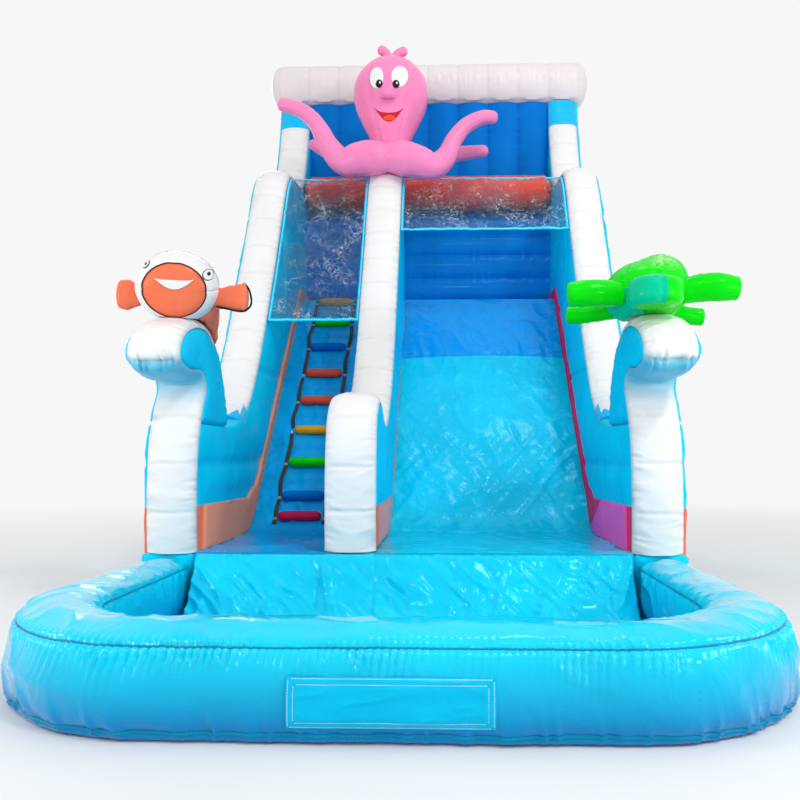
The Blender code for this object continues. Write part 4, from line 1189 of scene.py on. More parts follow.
def inside(points: Array, loop: Array) -> NDArray[np.bool_]:
    """Whether points lie in a closed outline: an odd number of edges is crossed to the right."""
    a, b = loop[:, None, :], np.roll(loop, -1, axis=0)[:, None, :]
    level = points[None, :, 1]
    spans = (a[..., 1] > level) != (b[..., 1] > level)
    drop = np.where(b[..., 1] == a[..., 1], 1.0, b[..., 1] - a[..., 1])
    cross = a[..., 0] + (b[..., 0] - a[..., 0]) * (level - a[..., 1]) / drop
    return (spans & (points[None, :, 0] < cross)).sum(0) % 2 == 1


def distance(points: Array, line: Array, closed: bool = False) -> Array:
    """Distance of points from a line: the least over its segments.

    Args:
        points: places, one row each.
        line: the line's points.
        closed: whether the last point joins the first.

    Returns:
        One distance for each place.
    """
    ends = np.vstack([line, line[:1]]) if closed else line
    a, way = ends[:-1], np.diff(ends, axis=0)
    size = np.maximum((way**2).sum(-1), 1e-12)
    found = []
    for part in np.array_split(points, max(1, len(points) // 2500)):
        off = part[:, None, :] - a[None]
        t = ramp((off * way[None]).sum(-1), size)
        found.append(np.linalg.norm(off - t[..., None] * way[None], axis=-1).min(1))
    return np.concatenate(found)


@dataclass
class Slab:
    """Upright puffed slab between two X planes, drawn in along its sewn quilt lines.

    Half the thickness is h - r + r sqrt(1 - (1 - d/r)^2) + puff (1 - exp(-d / 0.25)), less
    the quilt lines' dips, with d the distance from the outline. A bulge is a patch of one
    side, seen from +X (1) or -X (-1), that swells out further. Both sides are one triangle
    net of the outline, and a crowned band joins them.
    """

    name: str
    outline: Array
    x_low: float
    x_high: float
    seed: int
    seams: list[Array] = field(default_factory=list)
    pitch: float = 0.036
    round: float = 0.03
    puff: float = 0.015
    seam_depth: float = 0.020
    pucker: float = 0.012
    rim_pucker: float = 0.012
    band: int = 5
    bulges: list[tuple[Line, int, float]] = field(default_factory=list)

    def net(self) -> tuple[Array, list, NDArray[np.int64]]:
        """Triangle net over the outline.

        Returns:
            Its points, its faces and the numbers of the outline's points in order.
        """
        edge = closed_line(self.outline, self.pitch)
        area = (edge[:, 0] * np.roll(edge[:, 1], -1) - np.roll(edge[:, 0], -1) * edge[:, 1]).sum()
        if area < 0:
            edge = edge[::-1]
        inward = left_of(edge, closed=True)
        rings = [edge + inward * depth for depth in (0.3 * self.round, self.round)]
        low, high = edge.min(0), edge.max(0)
        ys, zs = (np.arange(a + self.pitch / 2, b, self.pitch) for a, b in zip(low, high))
        field_points = np.stack(np.meshgrid(ys, zs), -1).reshape(-1, 2)
        field_points = field_points + 0.25 * self.pitch * (field_points[:, ::-1] // self.pitch % 2)
        ring_points = np.vstack([
            ring[distance(ring, edge, True) > 0.25 * self.round] for ring in rings
        ])
        ring_points = ring_points[inside(ring_points, edge)]
        field_points = field_points[inside(field_points, edge)]
        clear = distance(field_points, edge, True) > self.round + 0.4 * self.pitch
        flat = np.vstack([edge, ring_points, field_points[clear]])
        count = len(edge)
        points, _, faces, came, *_ = delaunay_2d_cdt(
            [Vector(p) for p in flat.tolist()], [], [list(range(count))], 1, 1e-6, True
        )
        where = np.full(len(flat), -1)
        for number, sources in enumerate(came):
            where[sources] = number
        points = np.array([tuple(p) for p in points])
        corners = np.array(faces)
        kept = inside(points[corners].mean(1), edge)
        return points, corners[kept].tolist(), where[:count]

    def build(self) -> Piece:
        """Build the closed slab."""
        flat, faces, rim = self.net()
        loop = flat[rim]
        away = distance(flat, loop, True)
        away[rim] = 0.0
        half = (self.x_high - self.x_low) / 2
        middle = (self.x_high + self.x_low) / 2
        near = ramp(away, self.round)
        thick = half - self.round + self.round * np.sqrt(1 - (1 - near) ** 2)
        thick = thick + self.puff * (1 - np.exp(-away / 0.25))
        wear_and_shade = 0.6 * dip(away, 0.02)
        y, z = flat.T
        hem_run = self.rim_run(flat, loop)
        sides = []
        for sign, seed in ((1, self.seed), (-1, self.seed + 40)):
            side = thick + self.rim_pucker * pleats(hem_run, away, 0.065, 0.06, seed) * near
            for number, seam in enumerate(self.seams):
                off = distance(flat, seam)
                side = side - self.seam_depth * dip(off, 0.022) * near
                way = y if np.ptp(seam[:, 0]) > np.ptp(seam[:, 1]) else z
                fold = pleats(way, off, 0.06, 0.07, seed + 7 + number)
                side = side + self.pucker * fold * near
                wear_and_shade = np.maximum(wear_and_shade, 0.5 * dip(off, 0.016))
            side = side + 0.007 * noise(0.28, seed + 2, y, z) * near
            for loop_line, facing, swell in self.bulges:
                if facing == sign:
                    patch = np.asarray(loop_line, float)
                    deep = np.where(inside(flat, patch), distance(flat, patch, True), 0.0)
                    side = side + swell * (1 - np.exp(-deep / 0.10))
            sides.append(np.stack([middle + sign * side, y, z], -1))
        count = len(flat)
        triangles = faces + [[count + number for number in face[::-1]] for face in faces]
        out = -left_of(loop, closed=True)
        bands = []
        for w in np.linspace(1, -1, self.band + 2)[1:-1]:
            place = loop + out * (0.25 * self.puff * (1 - w**2))
            place[:, 1] = np.maximum(place[:, 1], min(0.0, loop[:, 1].min()))
            bands.append(np.stack([np.full(len(loop), middle + w * (half - self.round)),
                                   *place.T], -1))
        numbers = [rim] + [2 * count + k * len(loop) + np.arange(len(loop))
                           for k in range(self.band)] + [count + rim]
        quads = [np.stack([first, second, np.roll(second, -1), np.roll(first, -1)], -1)
                 for first, second in zip(numbers[:-1], numbers[1:])]
        points = np.vstack(sides + bands)
        wear_and_shade = np.concatenate([wear_and_shade, wear_and_shade, np.full(self.band * len(loop), 0.15)])
        return new_piece(
            self.name, points, triangles + np.concatenate(quads).tolist(), wear_and_shade=wear_and_shade
        )

    def rim_run(self, flat: Array, loop: Array) -> Array:
        """A coordinate that runs roughly along the nearest part of the outline."""
        middle = loop.mean(0)
        return np.arctan2(flat[:, 1] - middle[1], flat[:, 0] - middle[0]) * 1.6


def sweep_x(
    name: str, profile: Array, xs: Array, grow: Callable[[Array, Array, Array], Array],
    wear_and_shade: Callable[[Array, Array, Array], Array] | None = None, sharp: float = 50.0,
) -> Piece:
    """A closed (y, z) profile carried along X, each point moved out along its normal.

    Args:
        name: the piece's name.
        profile: the closed profile's points, without the first one repeated.
        xs: the stations.
        grow: distance out of the profile, from the run round it, x and the profile's points.
        wear_and_shade: nearness to seams, from the same three.
        sharp: angle in degrees past which an edge shows.

    Returns:
        The linked object.
    """
    turn = (profile[:, 0] * np.roll(profile[:, 1], -1)
            - np.roll(profile[:, 0], -1) * profile[:, 1]).sum()
    loop = profile if turn > 0 else profile[::-1]
    out = -left_of(loop, closed=True)
    run = arc(loop)[None, :]
    x = xs[:, None]
    reach = grow(run, x, loop[None])
    flat = loop[None] + out[None] * reach[..., None]
    grid = with_x(x, flat)
    marks = None if wear_and_shade is None else np.broadcast_to(wear_and_shade(run, x, loop[None]), reach.shape)
    return tube_piece(name, grid, None, marks, sharp)


def limb(
    name: str, stations: Sequence[Sequence[float]], seed: int, sides: int = 28,
    flatten: float = 1.0, start_cap: bool = False, tip: float = 1.0, pucker: float = 0.05,
) -> Piece:
    """Blown-up tube through (x, y, z, radius) stations, closed by a rounded tip.

    Round the path, a point is c + r (cos a n + flatten sin a b), with n and b square to it.
    The seams along both sides draw it in a little and pucker it.

    Args:
        name: the piece's name.
        stations: the path with its radii.
        seed: picks the puckers.
        sides: points round the tube.
        flatten: depth of the section against its height.
        start_cap: whether the start is rounded too.
        tip: length of the rounded tip, in radii.
        pucker: depth of the puckers, in radii.

    Returns:
        The linked object.
    """
    path = resample(smooth_line(stations, 6), 0.018)
    turn = np.linspace(0.0, pi / 2, 9)[1:]

    def cap(last: Array, before: Array) -> Array:
        """Stations of a rounded end beyond the last one."""
        way = unit(last[:3] - before[:3])
        return np.column_stack([last[:3] + way * last[3] * tip * np.sin(turn)[:, None],
                                last[3] * np.maximum(np.cos(turn), 0.02) ** 0.8])

    rows = [path, cap(path[-1], path[-2])]
    if start_cap:
        rows.insert(0, cap(path[0], path[1])[::-1])
    path = np.vstack(rows)
    middle, radius = path[:, :3], path[:, 3:4]
    tangent = unit(np.gradient(middle, axis=0))
    normal = unit(np.cross([0.0, 1.0, 0.0], tangent))
    second = np.cross(tangent, normal)
    angle = turns(sides)
    run = arc(middle)[:, None]
    seam = np.minimum(np.abs(np.sin(angle)), 1.0)
    draw = 1 - 0.05 * dip(seam, 0.18)
    fold = pleats(run, seam * radius, 0.035, 0.035, seed)
    swell = radius * (draw + pucker * fold + 0.02 * noise(0.12, seed + 4, run, angle))
    grid = (
        middle[:, None, :] + (swell * np.cos(angle))[..., None] * normal[:, None, :]
        + (flatten * swell * np.sin(angle))[..., None] * second[:, None, :]
    )
    wear_and_shade = 0.6 * dip(seam, 0.10) * np.ones_like(run)
    return tube_piece(name, grid, wear_and_shade=wear_and_shade, sharp=70)


def seated(piece: Piece, line: Array, x_low: float, x_high: float, crown: float = 0.034,
           clear: float = 0.006) -> Piece:
    """Raise the points of a piece that would sink into a crowned strip, up to its top.

    The top is the line plus crown (1 - w^2) + clear, with w the place across from -1 to 1.

    Args:
        piece: the finished piece.
        line: top line of the strip's seat in (y, z), with y growing.
        x_low: lowest X of the strip.
        x_high: highest X of the strip.
        crown: height of the strip's middle above its edges.
        clear: gap left above the strip.

    Returns:
        The piece.
    """
    points = np.empty(3 * len(piece.data.vertices))
    piece.data.vertices.foreach_get("co", points)
    points = points.reshape(-1, 3)
    across = (2 * points[:, 0] - x_low - x_high) / (x_high - x_low)
    top = np.interp(points[:, 1], line[:, 0], line[:, 1], left=-1.0, right=-1.0)
    top = top + crown * (1 - across**2) + clear
    sunk = (np.abs(across) < 1) & (points[:, 2] < top)
    points[sunk, 2] = top[sunk]
    piece.data.vertices.foreach_set("co", points.ravel())
    piece.data.update()
    return piece


def wave_top() -> Array:
    """Top line of a wave head in (y, z), from the nose of the curl to its back."""
    return smooth_line([*FACE_LINE[8:], *WAVE_BACK[1:]], 4)


def divider_top() -> Array:
    """Top line of the divider in (y, z) over its upper half, up to its rear end."""
    line = smooth_line(DIVIDER_LINE, 4)
    return np.vstack([line[line[:, 1] > 2.5], [(DIVIDER_BACK_Y, line[-1, 1])]])


# Sub-assemblies

@dataclass
class SideWall:
    """One side of the tower: wall, white cap, white pillar face, wave head and skirt."""

    side: Side
    shop: Workshop
    quilt_z: tuple[float, ...] = (1.15, 2.05, 2.95, 3.85)
    bare: float = 0.030
    swell: float = 0.026
    rear_y: float = REAR_FACE + 0.11

    @property
    def sign(self) -> int:
        """Which way the side lies along X."""
        return self.side.value

    @property
    def span(self) -> tuple[float, float]:
        """Lowest and highest X of the wall."""
        ends = (self.sign * WALL_IN, self.sign * WALL_OUT)
        return min(ends), max(ends)

    def split(self, line: Array) -> tuple[Array, Array]:
        """The face line's part below and above the wave head's seam."""
        high = np.argmax(line[:, 1] > SPLIT_Z)
        a, b = line[high - 1], line[high]
        seam = a + (b - a) * (SPLIT_Z - a[1]) / (b[1] - a[1])
        return np.vstack([line[:high], seam]), np.vstack([seam, line[high:]])

    def wall(self) -> None:
        """Blue body of the wall behind its white edges."""
        low, _ = self.split(inset(smooth_line(FACE_LINE, 4), RIM - 0.004))
        cap = inset(smooth_line(CAP_LINE, 4), RIM - 0.004)
        rear = self.rear_y
        outline = np.vstack([
            [(0.0, 0.0), (0.0, FACE_FOOT_Z - 0.004), (low[0, 0], FACE_FOOT_Z - 0.004)], low,
            smooth_line(VALLEY_LINE, 4)[:-1], cap,
            [(cap[-1, 0], PANEL_TOP), (rear, PANEL_TOP), (rear, 0.0)],
        ])
        seams = [
            np.array([(0.0, self.quilt_z[0]), (rear, self.quilt_z[0])]),
            *(np.array([(1.3, z), (rear, z)]) for z in self.quilt_z[1:]),
            np.array([(0.90, 0.0), (0.90, 1.15)]), np.array([(2.7, 0.0), (2.7, 4.1)]),
        ]
        low_bulge = [(0.16, 0.90), (0.16, 1.11), (1.86, 1.11), (1.56, 0.90)]
        high_bulge = [(0.80, 1.19), (0.80, 1.56), (1.30, 1.56), (1.60, 1.74), (2.05, 2.50),
                      (2.50, 3.40), (2.86, 4.10), (3.95, 4.30), (4.02, 3.34), (3.60, 3.32),
                      (1.95, 1.26), (1.90, 1.19)]
        bulges = [(patch, -self.sign, self.swell) for patch in (low_bulge, high_bulge)]
        wall = Slab(f"wall_{self.side.word}", outline, *self.span, seed=11 + self.sign, seams=seams,
                    bulges=bulges)
        self.shop.fit(wall.build(), Cloth.wall, f"side_wall_{self.side.word}", fill=0.95)

    def edges(self) -> None:
        """White cap up the tower's edge and white face up the pillar and round the curl."""
        cap = smooth_line(CAP_LINE, 6)
        face = smooth_line(FACE_LINE, 6)
        creases = np.array([0.22, 0.50, 0.85, 1.22, 1.60, 1.98, 2.36, 2.75, 3.10, 3.50, 3.92,
                            4.30, 4.62, 4.98, 5.30])
        low, high = self.span
        low, high = (low + self.bare, high) if self.sign < 0 else (low, high - self.bare)
        strip = EdgeStrip(f"cap_{self.side.word}", cap, low, high, creases + 0.03 * self.sign,
                          seed=23 + self.sign)
        self.shop.fit(strip.build(), Cloth.drip, f"wall_cap_{self.side.word}", fill=0.95)
        folds = np.array([0.30, 0.66, 1.02, 1.30, 2.02, 2.48])
        strip = EdgeStrip(f"pillar_{self.side.word}", face, low, high, folds, seed=31 + self.sign,
                          gathers=(1.88, 0.042))
        self.shop.fit(strip.build(), Cloth.curl, f"pillar_face_{self.side.word}", fill=0.95)

    def wave(self) -> None:
        """Blue core of the curl."""
        _, high = self.split(inset(smooth_line(FACE_LINE, 4), RIM - 0.004))
        back = smooth_line(WAVE_BACK, 4)[1:-1]
        outline = np.vstack([high, back, [(0.78, SPLIT_Z + LIFT)]])
        wave = Slab(f"wave_{self.side.word}", outline, *self.span, seed=47 + self.sign, pitch=0.026,
                    round=0.035, puff=0.020)
        self.shop.fit(wave.build(), Cloth.cyan, f"wave_head_{self.side.word}", fill=0.95)

    def skirt(self) -> None:
        """Coloured skirt at the foot of the inner face, and its trim up the slope."""
        deck = deck_line()
        end_y = ROLLS_FRONT - 0.03
        turn_y = DECK_TOP_Y - TRIM_HIGH * tan(deck_angle() / 2)
        low = np.vstack([[(0.14, DECK_LOW_Z)], deck[1:], [(end_y, DECK_TOP_Z)]])
        slope = deck_point(np.array([2.10, 1.85]), np.array([TRIM_HIGH, TRIM_HIGH + 0.02]))
        top = np.vstack([
            [(end_y, DECK_TOP_Z + TRIM_HIGH), (turn_y, DECK_TOP_Z + TRIM_HIGH)], slope,
            [(1.50, 0.90), (1.34, 0.82), (1.02, 0.825), (0.14, 0.835)],
        ])
        ends = (self.sign * (WALL_IN - 0.034), self.sign * (WALL_IN + 0.004))
        skirt = Slab(
            f"skirt_{self.side.word}", np.vstack([low, top]), min(ends), max(ends),
            seed=53 + self.sign, pitch=0.030, round=0.010, puff=0.004, pucker=0.006,
            rim_pucker=0.008, band=1,
        )
        cloth = Cloth.salmon if self.side is Side.LEFT else Cloth.magenta
        self.shop.fit(skirt.build(), cloth, f"wall_skirt_{self.side.word}", fill=0.6)

    def build(self) -> None:
        """Build the whole side."""
        self.wall()
        self.edges()
        self.wave()
        self.skirt()


@dataclass
class Divider:
    """Wall between the lanes: blue body and white edge over its front lobe and top."""

    shop: Workshop

    def build(self) -> None:
        """Build the body and the edge."""
        edge = inset(smooth_line(DIVIDER_LINE, 4), RIM - 0.004)
        foot = deck_line()
        end_z = DECK_LOW_Z + (DIVIDER_BACK_Y - DECK_KNEE_Y) * tan(deck_angle())
        outline = np.vstack([
            [(edge[0, 0], DECK_LOW_Z)], edge, [(DIVIDER_BACK_Y, edge[-1, 1]),
                                               (DIVIDER_BACK_Y, end_z)], foot[1:-1][::-1],
        ])
        trim = TRIM_HIGH
        slope = deck_point(np.array([1.85, 2.10, 3.55]), np.array([trim + 0.02, trim, trim]))
        seams = [np.vstack([[(-0.1, 0.835), (1.02, 0.825), (1.34, 0.82), (1.50, 0.90)], slope])]
        body = Slab("divider_body", outline, DIVIDER_LOW, DIVIDER_HIGH, seed=61, seams=seams,
                    seam_depth=0.012)
        self.shop.fit(body.build(), Cloth.divider, "divider_wall", fill=0.95)
        creases = np.array([0.30, 0.62, 0.98, 1.36, 1.74, 2.12, 2.50, 2.88, 3.26, 3.64, 4.0, 4.34,
                            4.7, 5.05, 5.4])
        strip = EdgeStrip("divider_edge", smooth_line(DIVIDER_LINE, 6), DIVIDER_LOW, DIVIDER_HIGH,
                          creases, seed=67)
        self.shop.fit(strip.build(), Cloth.white, "divider_cap", fill=0.95)


@dataclass
class Decks:
    """Slide deck, climbing deck, platform, base sheet and the baffles under them."""

    shop: Workshop
    middle_x: float = (DIVIDER_LOW + DIVIDER_HIGH) / 2
    edge_x: float = WALL_IN - CLEAR

    def profile(self) -> Array:
        """Closed profile of a deck slab: its fine top line and its plain under side."""
        top = resample(deck_line(), DECK_PITCH)
        end_y = DECK_TOP_Y - CLEAR
        rise = tan(deck_angle())
        drop = DECK_THICK / cos(deck_angle())
        end_z = DECK_LOW_Z + (end_y - DECK_KNEE_Y) * rise
        under = DECK_LOW_Z - DECK_THICK
        knee_y = DECK_KNEE_Y + (drop - DECK_THICK) / rise
        low = resample(np.array([(end_y, end_z - drop), (knee_y, under), (0.0, under)]), 0.08)
        return np.vstack([top[:-1], [(end_y, end_z)], low])

    def lane(self, name: str, node: str, x_low: float, x_high: float, seams: Array,
             seed: int, depth: float) -> None:
        """One lane's deck, drawn in across the lane at its seams.

        Args:
            name: the piece's name.
            node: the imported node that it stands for.
            x_low: its left edge.
            x_high: its right edge.
            seams: lengths along the deck line at which it is drawn in.
            seed: picks its wrinkles.
            depth: depth of the seams.
        """
        profile = self.profile()
        top_end = arc(resample(deck_line(), DECK_PITCH))[-1]
        xs = np.linspace(x_low, x_high, round((x_high - x_low) / DECK_PITCH) + 1)

        def off_seam(place: Array, x: Array) -> Array:
            """Distance from the nearest seam, each bowed up towards the lane's edges."""
            bow = 0.05 * ((2 * x - x_low - x_high) / (x_high - x_low)) ** 2
            return np.abs((place - bow)[..., None] - seams[None, None]).min(-1)

        def grow(run: Array, x: Array, flat: Array) -> Array:
            """Wrinkles and seams on the top, nothing below."""
            place = self.top_run(run, flat)
            on_top = (place >= 0) & (place <= top_end)
            place = np.where(on_top, place, 0.0)
            away = off_seam(place, x)
            edge = within(x, x_low, x_high)
            inner = ramp(within(place, 0, top_end), 0.05)
            fold = ridges((0.16, 0.40), seed, x + 0.35 * place, place - 0.2 * x)
            height = -depth * dip(away, 0.020)
            height = height + 0.016 * pleats(x, away, 0.07, 0.13, seed + 1)
            height = height + 0.010 * (fold - 0.5) + 0.008 * noise(0.35, seed + 2, x, place)
            height = height + 0.018 * pleats(place, edge, 0.075, 0.11, seed + 4)
            slack = np.exp(-(((place - 2.0) / 0.55) ** 2))
            height = height + 0.020 * slack * (
                ridges((0.13, 0.42), seed + 6, x - 0.7 * place, place) - 0.45)
            height = height + 0.008 * slack * (
                ridges((0.07, 0.16), seed + 7, x + 0.5 * place, place) - 0.45)
            return np.where(on_top, height * inner * ramp(edge, 0.02), 0.0)

        def wear_and_shade(run: Array, x: Array, flat: Array) -> Array:
            """Nearness to the seams and edges, darkened there as grime and painted shade."""
            edge = within(x, x_low, x_high)
            place = self.top_run(run, flat)
            line = np.where(place >= 0, dip(off_seam(place, x), 0.014), 0.0)
            return np.maximum(0.5 * dip(edge, 0.02) + 0.0 * run, 0.8 * line)

        piece = sweep_x(name, profile, xs, grow, wear_and_shade)
        cloth = Cloth.deck if node == "slide_deck" else Cloth.climb
        self.shop.fit(piece, cloth, node, fill=0.9)

    def top_run(self, run: Array, flat: Array) -> Array:
        """Length along the top line for points of the profile, or -1 below it."""
        line = resample(deck_line(), DECK_PITCH)
        y, z = flat[..., 0], flat[..., 1]
        top_z = np.interp(y, line[:, 0], line[:, 1])
        place = np.interp(y, line[:, 0], arc(line))
        return np.where(np.abs(z - top_z) < 0.004, place, -1.0)

    def plain(self) -> None:
        """Platform, base sheet and the baffles, which are seen only from above or below."""
        drop = DECK_THICK / cos(deck_angle())
        rear = ROLLS_FRONT - CLEAR
        xs = np.linspace(-self.edge_x, self.edge_x, 90)
        block = np.array([(DECK_TOP_Y, DECK_TOP_Z - drop), (rear, DECK_TOP_Z - drop),
                          (rear, DECK_TOP_Z), (DECK_TOP_Y, DECK_TOP_Z)])
        block = closed_line(block, 0.03)

        def top(run: Array, x: Array, flat: Array) -> Array:
            """A low cushion between seams every half metre."""
            seam = np.abs((x / 0.53) % 1 - 0.5) * 0.53
            inner = ramp(within(flat[..., 0], DECK_TOP_Y, rear), 0.08)
            upper = flat[..., 1] > DECK_TOP_Z - 0.002
            height = 0.012 * np.abs(np.cos(pi * x / 0.53)) - 0.012 * dip(seam, 0.03)
            height = height + 0.006 * noise(0.2, 83, x, flat[..., 0])
            return np.where(upper, height * inner, 0.0)

        self.shop.fit(sweep_x("platform", block, xs, top), Cloth.deck, "platform_deck", fill=0.9)
        sheet = np.array([(-0.03, 0.0), (rear, 0.0), (rear, 0.006), (-0.03, 0.006)])
        base = sweep_x("base_skin", closed_line(sheet, 0.12), xs[::3],
                       lambda run, x, flat: 0.0 * (run + x))
        self.shop.fit(base, Cloth.blue, "base_sheet")
        for name, y in (("front", 1.95), ("rear", 3.10)):
            high = DECK_LOW_Z + (y - DECK_KNEE_Y) * tan(deck_angle()) - drop - 0.012
            web = np.array([(y, 0.0066), (y + 0.012, 0.0066), (y + 0.012, high), (y, high)])
            baffle = sweep_x(f"baffle_{name}", closed_line(web, 0.06), xs[1:-1],
                             lambda run, x, flat: 0.003 * noise(0.3, 89, x, flat[..., 1]))
            self.shop.fit(baffle, Cloth.blue, f"support_baffle_{name}")

    def build(self) -> None:
        """Build the lanes, the platform and what lies below."""
        self.lane("deck_slide", "slide_deck", self.middle_x, self.edge_x,
                  np.array([1.33, 3.87]), 71, 0.014)
        middles = (np.array(RUNG_STEPS[:-1]) + np.array(RUNG_STEPS[1:])) / 2
        self.lane("deck_climb", "climb_deck", -self.edge_x, self.middle_x, middles, 73, 0.010)
        self.plain()


@dataclass
class Ladder:
    """Nine padded rungs on the climbing deck and the two webbing straps beside them."""

    shop: Workshop
    radius: float = 0.048
    length: float = 0.41
    middle_x: float = -1.13
    steps: tuple[float, ...] = RUNG_STEPS
    strap_width: float = 0.040
    strap_x: tuple[float, float] = (-1.362, -0.898)

    def rungs(self) -> None:
        """The rungs: blown-up bars with gathered ends, flat where they are sewn down."""
        cloths = [Cloth.crimson, Cloth.blue, Cloth.green, Cloth.amber, Cloth.red, Cloth.red,
                  Cloth.blue, Cloth.green, Cloth.amber]
        for number, (step, cloth) in enumerate(zip(self.steps, cloths), 1):
            w = np.linspace(-1, 1, 61)[:, None]
            angle = turns(32)
            swell = np.maximum(self.radius * (1 - np.abs(w) ** 9) ** 0.5, 0.004)
            x = self.middle_x + w * self.length / 2
            end = (1 - np.abs(w)) * self.length / 2
            fold = pleats(angle * self.radius * 2.2, end, 0.020, 0.030, 97 + number)
            swell = swell * (1 + 0.20 * fold + 0.02 * noise(0.09, number, x, angle))
            lift = np.maximum(self.radius * 0.8 + swell * np.sin(angle), 0.0015)
            place = step + swell * np.cos(angle)
            at, none = np.full_like(place, step), np.zeros_like(place)
            up = deck_point(at, none + 1) - deck_point(at, none)
            grid = with_x(x, deck_point(place, none) + up * lift[..., None])
            wear_and_shade = 0.8 * dip(end, 0.012) + 0.0 * angle
            piece = tube_piece(f"rung_{number}", grid, wear_and_shade=wear_and_shade)
            self.shop.fit(piece, cloth, f"climb_rung_{number}", fill=0.95)

    def strap_surface(self, side: int) -> Surface:
        """Surface of a strap: sewn down at each rung and slack between."""
        stops = np.array([self.steps[0] - 0.08, *self.steps, self.steps[-1] + 0.07])

        def surface(across: Array, place: Array) -> Array:
            """Point of the strap at a place across it and a length along the deck."""
            held = np.clip(place, stops[0], stops[-1] - 1e-6)
            k = np.searchsorted(stops, held, side="right") - 1
            low, high = stops[k], stops[k + 1]
            t = (held - low) / (high - low)
            size = np.clip((high - low) / 0.4, 0.3, 1.0)
            slack = np.sin(pi * t) ** 2 * size
            sway = 0.016 * slack * (1 - 2 * side) * np.sin(2.3 * k + 1.0)
            lift = 0.004 + 0.030 * slack + 0.008 * slack * np.sin(2 * pi * t)
            flat = deck_point(place, lift)
            return with_x(self.strap_x[side] + sway + across, flat)

        return surface

    def straps(self) -> None:
        """The straps, with a cross and a box of white thread where each is sewn down."""
        start, end = self.steps[0] - 0.08, self.steps[-1] + 0.07
        across = np.linspace(-0.5, 0.5, 5) * self.strap_width
        rows = np.linspace(start, end, 360)
        v, u = np.meshgrid(rows, across, indexing="ij")
        half = self.strap_width * 0.36
        out = np.array([0.0, -sin(deck_angle()), cos(deck_angle())])
        for side, name in enumerate(("left", "right")):
            surface = self.strap_surface(side)
            grid = surface(u, v)
            strap = sheet_piece(f"strap_{name}", grid, 0.0026, np.stack([u, v], -1))
            self.shop.fit(strap, Cloth.webbing, f"climb_strap_{name}")
            corners = np.array([(-half, -half), (half, half), (-half, half), (half, -half)])
            pairs = [(0, 1), (2, 3), (0, 2), (1, 3), (0, 3), (1, 2)]
            starts, ends, ups = [], [], []
            for step in self.steps:
                for a, b in pairs:
                    t = np.linspace(0, 1, 5)
                    at = corners[a] + (corners[b] - corners[a]) * t[:, None]
                    point = surface(at[:, 0], step + at[:, 1])
                    point = point + out * 0.003
                    starts.append(point[:-1])
                    ends.append(point[1:])
                    ups.append(np.tile(out, (4, 1)))
            piece = threads(f"strap_thread_{name}", *(np.vstack(k) for k in (starts, ends, ups)))
            self.shop.fit(piece, Cloth.thread)

    def build(self) -> None:
        """Build the rungs and the straps."""
        self.rungs()
        self.straps()


